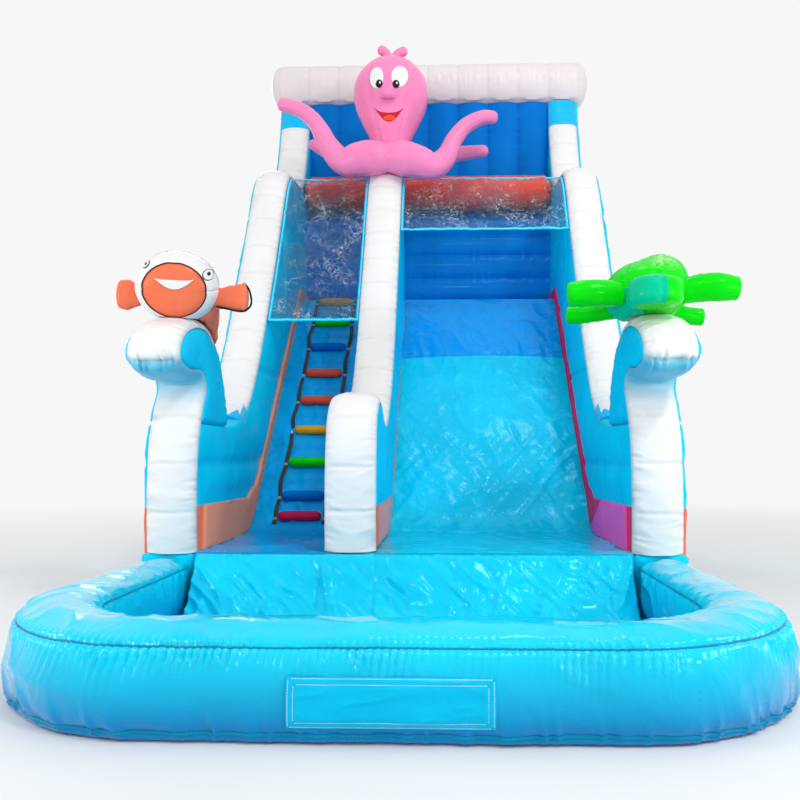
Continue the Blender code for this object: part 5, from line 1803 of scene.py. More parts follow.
@dataclass
class BackWall:
    """Wall of rolls, red top roll, tall panel of tubes and the white crest."""

    shop: Workshop
    edge_x: float = WALL_IN - CLEAR
    roll_seams: tuple[float, ...] = (3.24, 3.53, 3.83, 4.11, ROLLS_TOP)
    roll_bulge: float = 0.052
    tubes: int = 8
    panel_front: float = 4.27
    panel_back: float = 4.50
    panel_bulge: float = 0.055
    red_y: float = 4.03
    red_z: float = 4.605
    red_radius: float = 0.22
    crest_y: float = 4.38
    crest_z: float = 6.20
    crest_radius: float = 0.30
    crest_half: float = 2.14
    zip_reach: float = ZIP_HALF + 0.02
    zip_back: float = REAR_FACE + 0.0425
    lobes: int = 10

    def rolls(self) -> None:
        """Back wall: rolls above the platform in front, ribs behind."""
        seams = np.array(self.roll_seams)
        z = np.linspace(seams[0], seams[-1], 76)
        k = np.clip(np.searchsorted(seams, z, side="right") - 1, 0, len(seams) - 2)
        t = (z - seams[k]) / (seams[k + 1] - seams[k])
        front = np.stack([ROLLS_FRONT - self.roll_bulge * np.abs(np.sin(pi * t)) ** 0.7, z], -1)
        low = resample(np.array([(ROLLS_FRONT, 0.0), (ROLLS_FRONT, seams[0])]), 0.10)[:-1]
        rib = np.linspace(ROLLS_TOP, 0.0, 121)
        bulge = 0.05 * np.abs(np.sin(pi * rib * 6 / ROLLS_TOP)) ** 0.7
        rear = np.stack([REAR_FACE + bulge, rib], -1)
        xs = np.linspace(-self.edge_x, self.edge_x, 150)
        ribs = np.linspace(0, ROLLS_TOP, 7)

        def grow(run: Array, x: Array, flat: Array) -> Array:
            """Gathers along each seam."""
            y, z = flat[..., 0], flat[..., 1]
            to_front = np.abs(z[..., None] - seams).min(-1)
            to_rear = np.abs(z[..., None] - ribs).min(-1)
            front_side = (y < ROLLS_FRONT + 0.01) & (z > seams[0] - 0.01)
            rear_side = y > REAR_FACE - 0.01
            height = np.where(front_side, 0.022 * pleats(x, to_front, 0.07, 0.06, 101), 0.0)
            height = height + np.where(rear_side, 0.02 * pleats(x, to_rear, 0.08, 0.08, 103), 0.0)
            inner = ramp(within(z, 0, ROLLS_TOP), 0.02)
            height = (height + 0.004 * noise(0.2, 105, x, z)) * inner
            beside = np.maximum(np.abs(x - ZIP_X) - self.zip_reach, 0.0)
            above = np.maximum(np.abs(z - ZIP_Z) - 0.06, 0.0)
            pressed = np.clip(1.3 - np.hypot(beside, above) / 0.08, 0, 1) * rear_side
            return height * (1 - pressed) + pressed * (self.zip_back - y)

        piece = sweep_x("rolls", np.vstack([low, front, rear[:-1], [(REAR_FACE, 0.0)]]), xs, grow)
        self.shop.fit(piece, Cloth.roll, "back_wall", fill=0.95)

    def top_roll(self) -> None:
        """Red roll that lies along the foot of the panel."""
        flat_y = self.panel_front - self.panel_bulge - CLEAR
        angle = np.linspace(0, 2 * pi, 56, endpoint=False)
        loop = np.stack([self.red_y + self.red_radius * np.cos(angle),
                         self.red_z + self.red_radius * np.sin(angle)], -1)
        xs = np.linspace(-self.edge_x + 0.01, self.edge_x - 0.01, 170)

        def grow(run: Array, x: Array, flat: Array) -> Array:
            """Gathered at both ends and kept off the panel."""
            edge = self.edge_x - 0.01 - np.abs(x)
            height = -0.10 * dip(edge, 0.05) + 0.035 * pleats(run, edge, 0.06, 0.16, 107)
            height = height + 0.006 * noise((0.5, 0.2), 109, x, run)
            out = (flat[..., 0] - self.red_y) / self.red_radius
            room = np.where(out > 0.2, (flat_y - self.red_y) / np.maximum(out, 0.2)
                            - self.red_radius, 1.0)
            return np.minimum(height, room)

        self.shop.fit(sweep_x("roll_red", loop, xs, grow), Cloth.red, "top_roll", fill=0.95)

    def panel(self) -> None:
        """Tall panel: tubes side by side, gathered along their seams."""
        pitch = 2 * self.edge_x / self.tubes
        x = np.linspace(-self.edge_x, self.edge_x, self.tubes * 14 + 1)
        phase = (x + self.edge_x) / pitch
        bulge = np.abs(np.sin(pi * phase)) ** 0.75
        front = np.stack([x, self.panel_front - self.panel_bulge * bulge], -1)
        rear = np.stack([x[::-1], self.panel_back + 0.8 * self.panel_bulge * bulge[::-1]], -1)
        z = np.linspace(ROLLS_TOP + CLEAR, PANEL_TOP, 92)[:, None]
        loop = np.vstack([front, rear])
        seam = (loop[:, 0] / pitch + 0.5 * (self.tubes % 2)) % 1.0
        seam = within(seam, 0, 1) * pitch
        side = np.where(np.arange(len(loop)) < len(front), -1.0, 1.0)
        fold = pleats(z, seam[None, :], 0.08, 0.07, 113)
        inner = ramp(within(z, ROLLS_TOP, PANEL_TOP), 0.03)
        edge = ramp(self.edge_x - np.abs(loop[:, 0]), 0.03)[None]
        grow = 0.018 * fold * inner * edge
        grow = grow + 0.005 * noise((0.3, 0.4), 117, loop[None, :, 0], z) * edge
        y = loop[None, :, 1] + side[None] * grow
        grid = placed(loop[None, :, 0], y, z)
        wear_and_shade = 0.45 * dip(seam, 0.012)[None] * np.ones_like(z)
        piece = tube_piece("panel", grid, wear_and_shade=wear_and_shade)
        self.shop.fit(piece, Cloth.blue, "back_panel", fill=0.95)

    def crest(self) -> None:
        """White crest: a lobed tube that hangs in scallops in front of the panel."""
        straight = 2 * self.crest_half - 0.30
        x = np.linspace(-self.crest_half, self.crest_half, 301)
        reach = ramp(self.crest_half - np.abs(x), 0.15)
        taper = np.sqrt(1 - (1 - reach) ** 2)
        phase = (x + straight / 2) / straight * self.lobes
        lobe = np.abs(np.sin(pi * phase)) ** 0.6
        lobe = np.where(np.abs(x) > straight / 2, 0.0, lobe)
        seam = np.abs(phase - np.round(phase)) * straight / self.lobes
        angle = turns(64)
        radius = self.crest_radius * (0.965 + 0.035 * lobe) * np.maximum(taper, 0.03)
        swell = 0.016 * pleats(angle * self.crest_radius, seam[:, None], 0.06, 0.07, 121)
        bead = dip(np.sin((angle - pi) / 2) * 2 * self.crest_radius, 0.10)
        swell = swell + 0.014 * (ridges((0.035, 0.4), 123, x[:, None], angle) - 0.45) * bead
        radius = radius[:, None] + swell * taper[:, None]
        y = self.crest_y + radius * np.cos(angle)
        z = self.crest_z + radius * np.sin(angle)
        before = ramp(self.panel_front - self.panel_bulge - 0.005 - y, 0.02)
        hang = 0.075 * lobe[:, None] * before
        low = PANEL_TOP + 0.0005 - hang
        front = np.cos(angle) < -0.2
        drop = ramp(self.crest_z - z, self.crest_radius) ** 2
        z = np.where(front, z - 0.05 * drop * lobe[:, None] * before, z)
        z = np.maximum(z, low)
        grid = placed(x[:, None], y, z)
        wear_and_shade = 0.25 * dip(seam, 0.012)[:, None] + 0.0 * angle
        piece = tube_piece("crest", grid, wear_and_shade=wear_and_shade, sharp=60)
        self.shop.fit(piece, Cloth.crest, "wave_crest", fill=0.95)

    def build(self) -> None:
        """Build the whole back."""
        self.rolls()
        self.top_roll()
        self.panel()
        self.crest()


@dataclass
class CoverFilm:
    """Clear cover over the top of a lane, with a cyan binding and a row of white stitches.

    A point is at the length s of the line inside the caps and the share t across the lane,
    moved out of the line by wrinkles that run slantwise and gather at the bound edges.
    """

    name: str
    x_low: float
    x_high: float
    hem_z: float
    seed: int
    shop: Workshop
    depth: float = 0.065
    top_y: float = 3.10
    thick: float = 0.0012
    binding: float = 0.034

    def line(self) -> Array:
        """The film's line in (y, z), from its hem up to the shoulder."""
        line = inset(smooth_line(CAP_LINE, 2), self.depth)
        first = int(np.argmax(line[:, 1] > self.hem_z))
        share = (self.hem_z - line[first - 1, 1]) / (line[first, 1] - line[first - 1, 1])
        hem = line[first - 1] + share * (line[first] - line[first - 1])
        line = np.vstack([hem, line[first:]])
        return smooth_line(line[line[:, 0] < self.top_y], 3)

    def surface(self) -> Surface:
        """The film's surface over x and the length along its line."""
        line = self.line()
        out = left_of(line)
        run = arc(line)

        def at(x: Array, s: Array) -> Array:
            """Point of the wrinkled film."""
            place = along(line, s)
            way = follow(run, out, s)
            edge = within(x, self.x_low, self.x_high).clip(0)
            end = within(s, 0, run[-1]).clip(0)
            fold = ridges((0.11, 0.26), self.seed, x + 0.5 * s, s - 0.3 * x)
            fine = ridges((0.05, 0.10), self.seed + 1, x - 0.4 * s, s + 0.2 * x)
            height = 0.014 * (fold - 0.4) + 0.007 * (fine - 0.4)
            height = height + 0.022 * pleats(s, edge, 0.06, 0.08, self.seed + 2)
            height = height + 0.022 * pleats(x, end, 0.06, 0.10, self.seed + 3)
            height = height * np.clip(np.minimum(edge, end) / 0.03, 0.15, 1)
            flat = place + way * height[..., None]
            return with_x(x, flat)

        return at

    def build(self) -> None:
        """Build the film, its bindings and their stitches."""
        surface = self.surface()
        length = arc(self.line())[-1]
        xs = np.linspace(self.x_low + 0.002, self.x_high - 0.002,
                         round((self.x_high - self.x_low) / 0.012))
        ss = np.linspace(0.0, length, round(length / 0.012))
        s, x = np.meshgrid(ss, xs, indexing="ij")
        grid = surface(x, s)
        edge = to_border(x, s, (self.x_low, self.x_high), length)
        film = sheet_piece(f"film_{self.name}", grid, self.thick, wear_and_shade=dip(edge, 0.02))
        self.shop.fit(film, Cloth.film, f"cover_film_{self.name}")
        width = self.binding
        bands = {
            "left": (self.x_low + 0.002, self.x_low + width, 0.0, length),
            "right": (self.x_high - width, self.x_high - 0.002, 0.0, length),
            "hem": (self.x_low + 0.002, self.x_high - 0.002, 0.0, width),
            "top": (self.x_low + 0.002, self.x_high - 0.002, length - width, length),
        }
        trims, rows = [], []
        for place, (x0, x1, s0, s1) in bands.items():
            upright = place in ("left", "right")
            across = 5 if upright else round((x1 - x0) / 0.012)
            down = round((s1 - s0) / 0.012) if upright else 5
            v, u = np.meshgrid(np.linspace(s0, s1, down), np.linspace(x0, x1, across),
                               indexing="ij")
            trim = ribbon_on(f"film_{self.name}_{place}", surface, u, v, 0.0, 0.006)
            trims.append(self.shop.fit(trim, Cloth.cyan))
            steps = np.linspace(0, 1, 120)
            u = np.full(120, (x0 + x1) / 2) if upright else x0 + (x1 - x0) * steps
            v = s0 + (s1 - s0) * steps if upright else np.full(120, (s0 + s1) / 2)
            lift = 0.0045 * facing(surface, u[0], v[0])
            rows.append(row_of_stitches(surface, u, v, 0.026, 0.015, lift))
        stitches = threads(f"film_{self.name}_thread", *joined(rows), width=0.006)
        self.shop.fit(stitches, Cloth.thread)


@dataclass
class Pool:
    """Splash pool: inflated U-shaped wall with its bound seam, banner patch, floor, apron."""

    shop: Workshop
    half: float = 1.815
    front: float = -2.095
    corner: float = 0.80
    section: tuple[tuple[float, float], ...] = (
        (0.17, 0.0), (0.225, 0.06), (0.250, 0.13), (0.250, 0.25), (0.205, 0.40), (0.11, 0.455),
        (0.0, 0.475), (-0.11, 0.455), (-0.195, 0.40), (-0.215, 0.24), (-0.205, 0.08),
        (-0.17, 0.0),
    )
    patch_x: tuple[float, float] = (-0.41, 0.46)
    foot: float = 0.176
    floor_end: float = -0.031

    def path(self) -> Array:
        """Middle line of the wall in plan, from the left rear round to the right rear."""
        y = self.front + self.corner
        x = self.half - self.corner
        turn = np.linspace(pi, 1.5 * pi, 40)
        bend = np.stack([-x + self.corner * np.cos(turn), y + self.corner * np.sin(turn)], -1)
        left = np.vstack([[(-self.half, -CLEAR)], bend, [(0.0, self.front)]])
        right = (left * [-1, 1])[::-1][1:]
        return np.vstack([left, right])

    def outline(self) -> Array:
        """Closed section as (outward, up), rounded through its points and flat on the ground."""
        points = np.array(self.section)
        held = np.vstack([points[-2:], points, points[:2]])
        fine = smooth_line(held, 8)[16:-17]
        fine[:, 1] = np.maximum(fine[:, 1], 0.0)
        return fine

    def seam_places(self) -> dict[str, float]:
        """Lengths round the section at which the wall is sewn."""
        outline = self.outline()
        run = arc(outline)
        marks = {"hem": (0.215, 0.045), "outer": (0.205, 0.40), "inner": (-0.195, 0.40)}
        return {
            name: float(run[np.linalg.norm(outline - np.array(mark), axis=1).argmin()])
            for name, mark in marks.items()
        }

    def surface(self) -> Surface:
        """The wall's surface over the length along its path and the length round its section."""
        path = self.path()
        fine = resample(path, 0.02)
        run = arc(fine)
        out = left_of(fine) * -1.0
        out[0], out[-1] = (-1.0, 0.0), (1.0, 0.0)
        outline = self.outline()
        around = arc(outline)
        normal = -left_of(outline, closed=True)
        if normal[np.argmax(outline[:, 0])][0] < 0:
            normal = -normal
        seams = self.seam_places()

        def at(s: Array, c: Array) -> Array:
            """Point of the wrinkled wall."""
            place = along(fine, s)
            way = unit(follow(run, out, s))
            flat = along(outline, c)
            lean = follow(around, normal, c)
            outer = np.abs(c - seams["outer"])
            below = c < seams["outer"]
            inner = np.abs(c - seams["inner"])
            hem = np.abs(c - seams["hem"])
            height = -0.012 * dip(outer, 0.012)
            strong = np.clip(0.75 + 0.9 * noise(0.35, 131, s), 0.25, 1.4)
            phase = 2 * pi * (s + 0.10 * outer) / 0.034 + 4.0 * noise(0.16, 138, s)
            gather = 0.5 * np.cos(phase) + 0.5 * noise((0.05, 0.4), 136, s, outer)
            reach = 0.050 * (1.3 + 0.7 * noise(0.12, 132, s))
            fade = np.exp(-((outer / np.where(below, reach * 1.5, 0.040)) ** 2))
            height = height + 0.014 * strong * gather * fade * ramp(outer, 0.016)
            height = height + 0.016 * pleats(s, inner, 0.07, 0.06, 133) - 0.006 * dip(inner, 0.01)
            height = height + 0.020 * pleats(s, hem, 0.06, 0.07, 135) - 0.004 * dip(hem, 0.01)
            bend = np.abs(np.abs(s - run[-1] / 2) - 1.65)
            loose = 0.35 + 0.65 * np.exp(-((bend / 0.5) ** 2))
            loose = loose + 0.8 * ramp(s - run[-1] + 1.1, 0.8)
            height = height + 0.020 * loose * (
                ridges((0.20, 0.18), 137, s + 0.6 * c, c) - 0.45)
            height = height + 0.010 * noise((0.45, 0.25), 139, s, c)
            ground = ramp(flat[..., 1], 0.03)
            end = ramp(within(s, 0, run[-1]), 0.04)
            flat = flat + lean * (height * ground * end)[..., None]
            xy = place + way * flat[..., :1]
            return np.concatenate([xy, np.maximum(flat[..., 1:], 0.0)], -1)

        return at

    def wall(self) -> None:
        """The wall, the tapes over its three seams and a row of stitches along each."""
        surface = self.surface()
        length = arc(resample(self.path(), 0.02))[-1]
        around = arc(self.outline())
        seams = self.seam_places()
        s = np.linspace(0, length, round(length / 0.0085))
        c = np.linspace(0, around[-1], 88)
        v, u = np.meshgrid(c, s)
        grid = surface(u, v)
        away = np.abs(v[..., None] - np.array(list(seams.values()))).min(-1)
        piece = tube_piece("pool_skin", grid, np.stack([u, v], -1), 0.6 * dip(away, 0.012))
        self.shop.fit(piece, Cloth.pool, "pool_wall", fill=0.85)
        rows = []
        for name, width in (("outer", 0.011), ("hem", 0.018), ("inner", 0.012)):
            middle = seams[name]
            v, u = np.meshgrid(np.linspace(middle - width / 2, middle + width / 2, 4),
                               np.linspace(0.03, length - 0.03, round(length / 0.016)))
            sign = facing(surface, length / 2, middle) * (-1 if name == "inner" else 1)
            # The tapes' dark finish paints the shadow in the seams' grooves.
            tape = ribbon_on(f"pool_tape_{name}", surface, u, v, 0.0022 * sign, 0.004)
            self.shop.fit(tape, Cloth.tape)
            u = np.linspace(0.03, length - 0.03, 600)
            line = np.full_like(u, middle)
            rows.append(row_of_stitches(surface, u, line, 0.018, 0.012, 0.004 * sign))
        self.shop.fit(threads("pool_thread", *joined(rows)), Cloth.seam_thread)

    def floor(self) -> None:
        """Floor sheet inside the wall's foot, with soft wrinkles."""
        inner = self.half - self.foot
        front = self.front + self.foot
        ys = np.linspace(front, self.floor_end, 120)
        xs = np.linspace(-1, 1, 170)
        radius = self.corner - self.foot
        y = ys[:, None]
        into = np.clip(front + radius - y, 0, radius)
        half = inner - radius + np.sqrt(np.maximum(radius**2 - into**2, 0.0))
        half = np.maximum(half, inner - radius + 0.01)
        x = xs[None, :] * half
        fold = ridges((0.30, 0.20), 141, x + 0.3 * y, y)
        z = 0.0030 + 0.0009 * (fold - 0.4)
        grid = placed(x, y, z)
        piece = sheet_piece("pool_bed", grid, 0.0018)
        self.shop.fit(piece, Cloth.bed, "pool_floor")

    def patch(self) -> None:
        """Banner patch on the front: a soft panel with a sewn border and no print."""
        side = np.array([(0.232, 0.08), (0.250, 0.13), (0.253, 0.20), (0.250, 0.25),
                         (0.238, 0.29)])
        line = smooth_line(side, 8)
        run = arc(line)

        def surface(x: Array, s: Array) -> Array:
            """Point of the patch, drawn in at its border and wrinkled inside."""
            flat = along(line, s)
            edge = to_border(x, s, self.patch_x, run[-1]).clip(0)
            lift = 0.009 + 0.006 * ramp(edge, 0.03)
            fold = ridges((0.20, 0.05), 151, x + 0.8 * s, s - 0.1 * x)
            lift = lift + 0.008 * (fold - 0.4) * ramp(edge, 0.04)
            lift = lift - 0.004 * dip(edge - 0.032, 0.006)
            return placed(x, self.front - flat[..., 0] - lift, flat[..., 1])

        v, u = np.meshgrid(np.linspace(0, run[-1], 44), np.linspace(*self.patch_x, 150))
        grid = surface(u, v)
        edge = to_border(u, v, self.patch_x, run[-1])
        piece = sheet_piece("patch", grid, 0.004, wear_and_shade=0.5 * dip(edge - 0.032, 0.008))
        self.shop.fit(piece, Cloth.patch, "banner_patch")
        rows = []
        for depth in (0.008, 0.030):
            x0, x1 = self.patch_x[0] + depth, self.patch_x[1] - depth
            s0, s1 = depth, run[-1] - depth
            for a, b in (((x0, s0), (x1, s0)), ((x1, s0), (x1, s1)), ((x1, s1), (x0, s1)),
                         ((x0, s1), (x0, s0))):
                t = np.linspace(0, 1, 90)
                u, v = a[0] + (b[0] - a[0]) * t, a[1] + (b[1] - a[1]) * t
                lift = 0.003 * facing(surface, u[0], v[0])
                rows.append(row_of_stitches(surface, u, v, 0.011, 0.007, lift))
        stitches = threads("patch_thread", *joined(rows), width=0.0022)
        self.shop.fit(stitches, Cloth.thread)

    def apron(self) -> None:
        """Loose apron from the front of the decks to the floor, hanging in folds."""
        line = smooth_line([(-0.035, 0.492), (-0.085, 0.468), (-0.15, 0.36), (-0.24, 0.20),
                            (-0.36, 0.08), (-0.50, 0.022)], 12)
        run = arc(line)
        out = left_of(line)
        if out[len(out) // 2][0] > 0:
            out = -out
        half = self.half - 0.25
        seam_x = np.array([-0.655, -0.265])
        xs = np.linspace(-half, half, 260)
        ss = np.linspace(0, run[-1], 64)
        s, x = np.meshgrid(ss, xs, indexing="ij")
        loose = np.abs(np.sin(pi * s / run[-1])) ** 0.7
        seam = np.abs(x[..., None] - seam_x).min(-1)
        fold = ridges((0.15, 0.80), 161, x + 0.22 * s * np.sign(x), s)
        slant = ridges((0.10, 0.30), 163, x - 0.9 * s, s + 0.5 * x)
        height = loose * (0.044 * (fold - 0.4) + 0.028 * (slant - 0.4))
        height = height - 0.012 * dip(seam, 0.012) * loose
        height = height + 0.016 * pleats(x, s, 0.06, 0.08, 167) * ramp(s, 0.03)
        flat = along(line, s)
        way = follow(run, out, s)
        flat = flat + way * height[..., None]
        flat[..., 1] = np.maximum(flat[..., 1], 0.009)
        grid = with_x(x, flat)
        piece = sheet_piece("apron", grid, 0.0016, wear_and_shade=0.5 * dip(seam, 0.01))
        self.shop.fit(piece, Cloth.landing, "landing_sheet")

    def build(self) -> None:
        """Build the whole pool."""
        self.wall()
        self.floor()
        self.patch()
        self.apron()


@dataclass
class Turned:
    """A turned blown-up body: rings of radius r(h) round an axis, made of sewn gores.

    In its own frame a point is (r cos a, r sin a, h), with r drawn in along each gore seam.
    """

    profile: Array
    origin: Array
    axes: Array
    gores: int
    seed: int
    stretch: tuple[float, float] = (1.0, 1.0)
    draw: float = 0.012
    pucker: float = 0.010

    def point(self, h: Array, a: Array) -> Array:
        """Points of the body at places along its axis and angles round it.

        Args:
            h: places along the profile, from 0 at its start to 1 at its end.
            a: angles round the axis.

        Returns:
            Points in the slide's frame.
        """
        run = arc(self.profile) / arc(self.profile)[-1]
        radius = np.interp(h, run, self.profile[:, 0])
        rise = np.interp(h, run, self.profile[:, 1])
        seam = off_gore(a, self.gores, np.maximum(radius, 0.02))
        size = arc(self.profile)[-1]
        swell = -self.draw * dip(seam, 0.02)
        swell = swell + self.pucker * pleats(h * size, seam, 0.045, 0.04, self.seed)
        end = ramp(within(h, 0, 1), 0.06)
        radius = radius + swell * end
        local = np.stack([radius * np.cos(a) * self.stretch[0],
                          radius * np.sin(a) * self.stretch[1], rise], -1)
        return self.origin + local @ self.axes

    def build(self, name: str, rings: int = 90, sides: int = 72) -> Piece:
        """The closed body."""
        h = np.linspace(0.0015, 0.9985, rings)[:, None]
        a = turns(sides)
        grid = self.point(*np.broadcast_arrays(h, a))
        seam = off_gore(a, self.gores, 0.3)
        return tube_piece(name, grid, wear_and_shade=0.5 * dip(seam, 0.012) + 0 * h, sharp=70)


def patch_disc(
    name: str, surface: Callable[[Array, Array], Array], outline: Callable[[Array, Array], tuple],
    thick: float = 0.003, rings: int = 14, sides: int = 48,
) -> Piece:
    """A cut piece glued on a body: a disc of rings laid on a surface.

    Args:
        name: the piece's name.
        surface: gives points for a place across and a place up.
        outline: gives those places for a share of the way out and an angle.
        thick: thickness of the piece.
        rings: rings from the middle out.
        sides: points round the disc.

    Returns:
        The linked object.
    """
    share = np.linspace(0.02, 1.0, rings)[:, None]
    angle = turns(sides)
    grid = surface(*outline(*np.broadcast_arrays(share, angle)))
    faces = grid_faces(rings, sides, ring=True)
    faces.append(list(range(sides))[::-1])
    return thicken(new_piece(name, grid, faces, closed=False), thick)


def ellipse(x: float, z: float, half_x: float, half_z: float, tilt: float = 0.0):
    """Outline of a tilted ellipse round a place, for a glued piece.

    Args:
        x: place across.
        z: place up.
        half_x: half its width.
        half_z: half its height.
        tilt: turn in degrees.

    Returns:
        A function of the share of the way out and the angle.
    """
    c, s = cos(radians(tilt)), sin(radians(tilt))

    def at(share: Array, angle: Array) -> tuple[Array, Array]:
        """Places across and up."""
        a, b = half_x * share * np.cos(angle), half_z * share * np.sin(angle)
        return x + a * c - b * s, z + a * s + b * c

    return at


def smile(x: float, z: float, half: float, high: float, low: float):
    """Outline of a smiling mouth: between two arcs that dip by high and low at the middle.

    Args:
        x: place across of its middle.
        z: height of its corners.
        half: half its width.
        high: dip of the upper lip.
        low: dip of the lower lip.

    Returns:
        A function of the share of the way out and the angle.
    """
    def at(share: Array, angle: Array) -> tuple[Array, Array]:
        """Places across and up."""
        t = share * np.cos(angle)
        mid = -(high + low) / 2 * (1 - t**2)
        thick = (low - high) / 2 * (1 - t**2)
        return x + half * t, z + mid + thick * share * np.sin(angle)

    return at


@dataclass
class Octopus:
    """Pink octopus on the divider: head with tuft, four arms and a plain friendly face."""

    shop: Workshop
    middle: tuple[float, float] = (-0.415, 3.10)
    depth: float = 0.85

    def profile(self) -> Array:
        """Radius and height from the crown down to the divider."""
        return smooth_line([
            (0.0, 5.93), (0.17, 5.90), (0.31, 5.80), (0.41, 5.65), (0.44, 5.49), (0.42, 5.32),
            (0.35, 5.15), (0.27, 4.99), (0.21, 4.84), (0.18, 4.70), (0.145, 4.55), (0.13, 4.42),
        ], 6)

    def face(self, lift: float) -> Callable[[Array, Array], Array]:
        """The front of the head over x and z, lifted towards the viewer."""
        profile = self.profile()

        def at(x: Array, z: Array) -> Array:
            """Point on the front."""
            radius = np.interp(z, profile[::-1, 1], profile[::-1, 0])
            out = np.sqrt(np.maximum(radius**2 - (x - self.middle[0]) ** 2, 0.0))
            return np.stack([x, self.middle[1] - self.depth * out - lift, z], -1)

        return at

    def seat(self, piece: Piece) -> Piece:
        """Seat a piece on the divider."""
        return seated(piece, divider_top(), DIVIDER_LOW, DIVIDER_HIGH)

    def build(self) -> None:
        """Build the body and the face."""
        head = Turned(self.profile(), np.array([*self.middle, 0.0]), np.eye(3), gores=6, seed=171,
                      stretch=(1.0, self.depth), draw=0.008)
        self.shop.fit(self.seat(head.build("head")), Cloth.pink, "octopus_head", fill=0.95)
        x, y = self.middle
        parts = {
            "tuft_left": [(x, y, 5.88, 0.050), ((x - 0.52) / 2, y, 5.99, 0.052),
                          (-0.52, y, 6.03, 0.058)],
            "tuft_right": [(x, y, 5.88, 0.050), ((x - 0.27) / 2, y, 5.98, 0.052),
                           (-0.275, y, 6.015, 0.056)],
            "rear_arm_left": [(-0.43, 3.18, 4.66, 0.09), (-0.60, 3.30, 4.62, 0.10),
                              (-0.85, 3.36, 4.66, 0.09), (-1.15, 3.38, 4.86, 0.08),
                              (-1.38, 3.38, 5.00, 0.065)],
            "rear_arm_right": [(-0.40, 3.18, 4.66, 0.09), (-0.24, 3.30, 4.65, 0.10),
                               (-0.05, 3.36, 4.73, 0.10), (0.34, 3.38, 4.86, 0.09),
                               (0.68, 3.38, 4.90, 0.072)],
        }
        for number, (name, stations) in enumerate(parts.items()):
            piece = self.seat(limb(f"octopus_{name}", stations, 173 + number))
            self.shop.fit(piece, Cloth.pink, fill=0.95)
        arms = {
            "left": [(-0.446, 2.81, 4.60, 0.16), (-0.58, 2.81, 4.60, 0.195),
                     (-0.76, 2.80, 4.58, 0.185), (-0.94, 2.82, 4.56, 0.15),
                     (-1.10, 2.85, 4.74, 0.125), (-1.27, 2.88, 5.05, 0.095),
                     (-1.46, 2.90, 5.22, 0.085), (-1.66, 2.90, 5.28, 0.078)],
            "right": [(-0.430, 2.81, 4.60, 0.16), (-0.30, 2.81, 4.60, 0.195),
                      (-0.10, 2.80, 4.55, 0.185), (0.10, 2.82, 4.50, 0.15),
                      (0.24, 2.85, 4.62, 0.12), (0.33, 2.87, 4.82, 0.10),
                      (0.47, 2.89, 5.00, 0.088), (0.66, 2.90, 5.10, 0.08),
                      (0.78, 2.90, 5.10, 0.072)],
        }
        for number, (side, stations) in enumerate(arms.items()):
            piece = limb(f"arm_{side}", stations, 181 + number, sides=44, start_cap=True, tip=0.8)
            self.shop.fit(self.seat(piece), Cloth.pink, f"octopus_arm_{side}", fill=0.95)
        marks = [
            ("eye_left", Cloth.white, ellipse(-0.5535, 5.519, 0.081, 0.133, 4), 0.004),
            ("eye_right", Cloth.white, ellipse(-0.287, 5.530, 0.094, 0.133, -10), 0.004),
            ("pupil_left", Cloth.black, ellipse(-0.522, 5.437, 0.039, 0.046), 0.008),
            ("pupil_right", Cloth.black, ellipse(-0.328, 5.429, 0.039, 0.046), 0.008),
            ("glint_left", Cloth.white, ellipse(-0.512, 5.447, 0.010, 0.015), 0.011),
            ("glint_right", Cloth.white, ellipse(-0.318, 5.439, 0.010, 0.015), 0.011),
            ("mouth", Cloth.mouth, smile(-0.415, 5.190, 0.166, 0.062, 0.150), 0.004),
            ("tongue", Cloth.red, ellipse(-0.412, 5.078, 0.070, 0.028), 0.007),
        ]
        for name, cloth, outline, lift in marks:
            self.shop.fit(patch_disc(f"octopus_{name}", self.face(lift), outline), cloth)
        nose = limb("octopus_nose", [(-0.470, 2.715, 5.290, 0.042), (-0.422, 2.700, 5.302, 0.062),
                                     (-0.374, 2.715, 5.290, 0.042)], 191, start_cap=True)
        self.shop.fit(nose, Cloth.pink, fill=0.9)


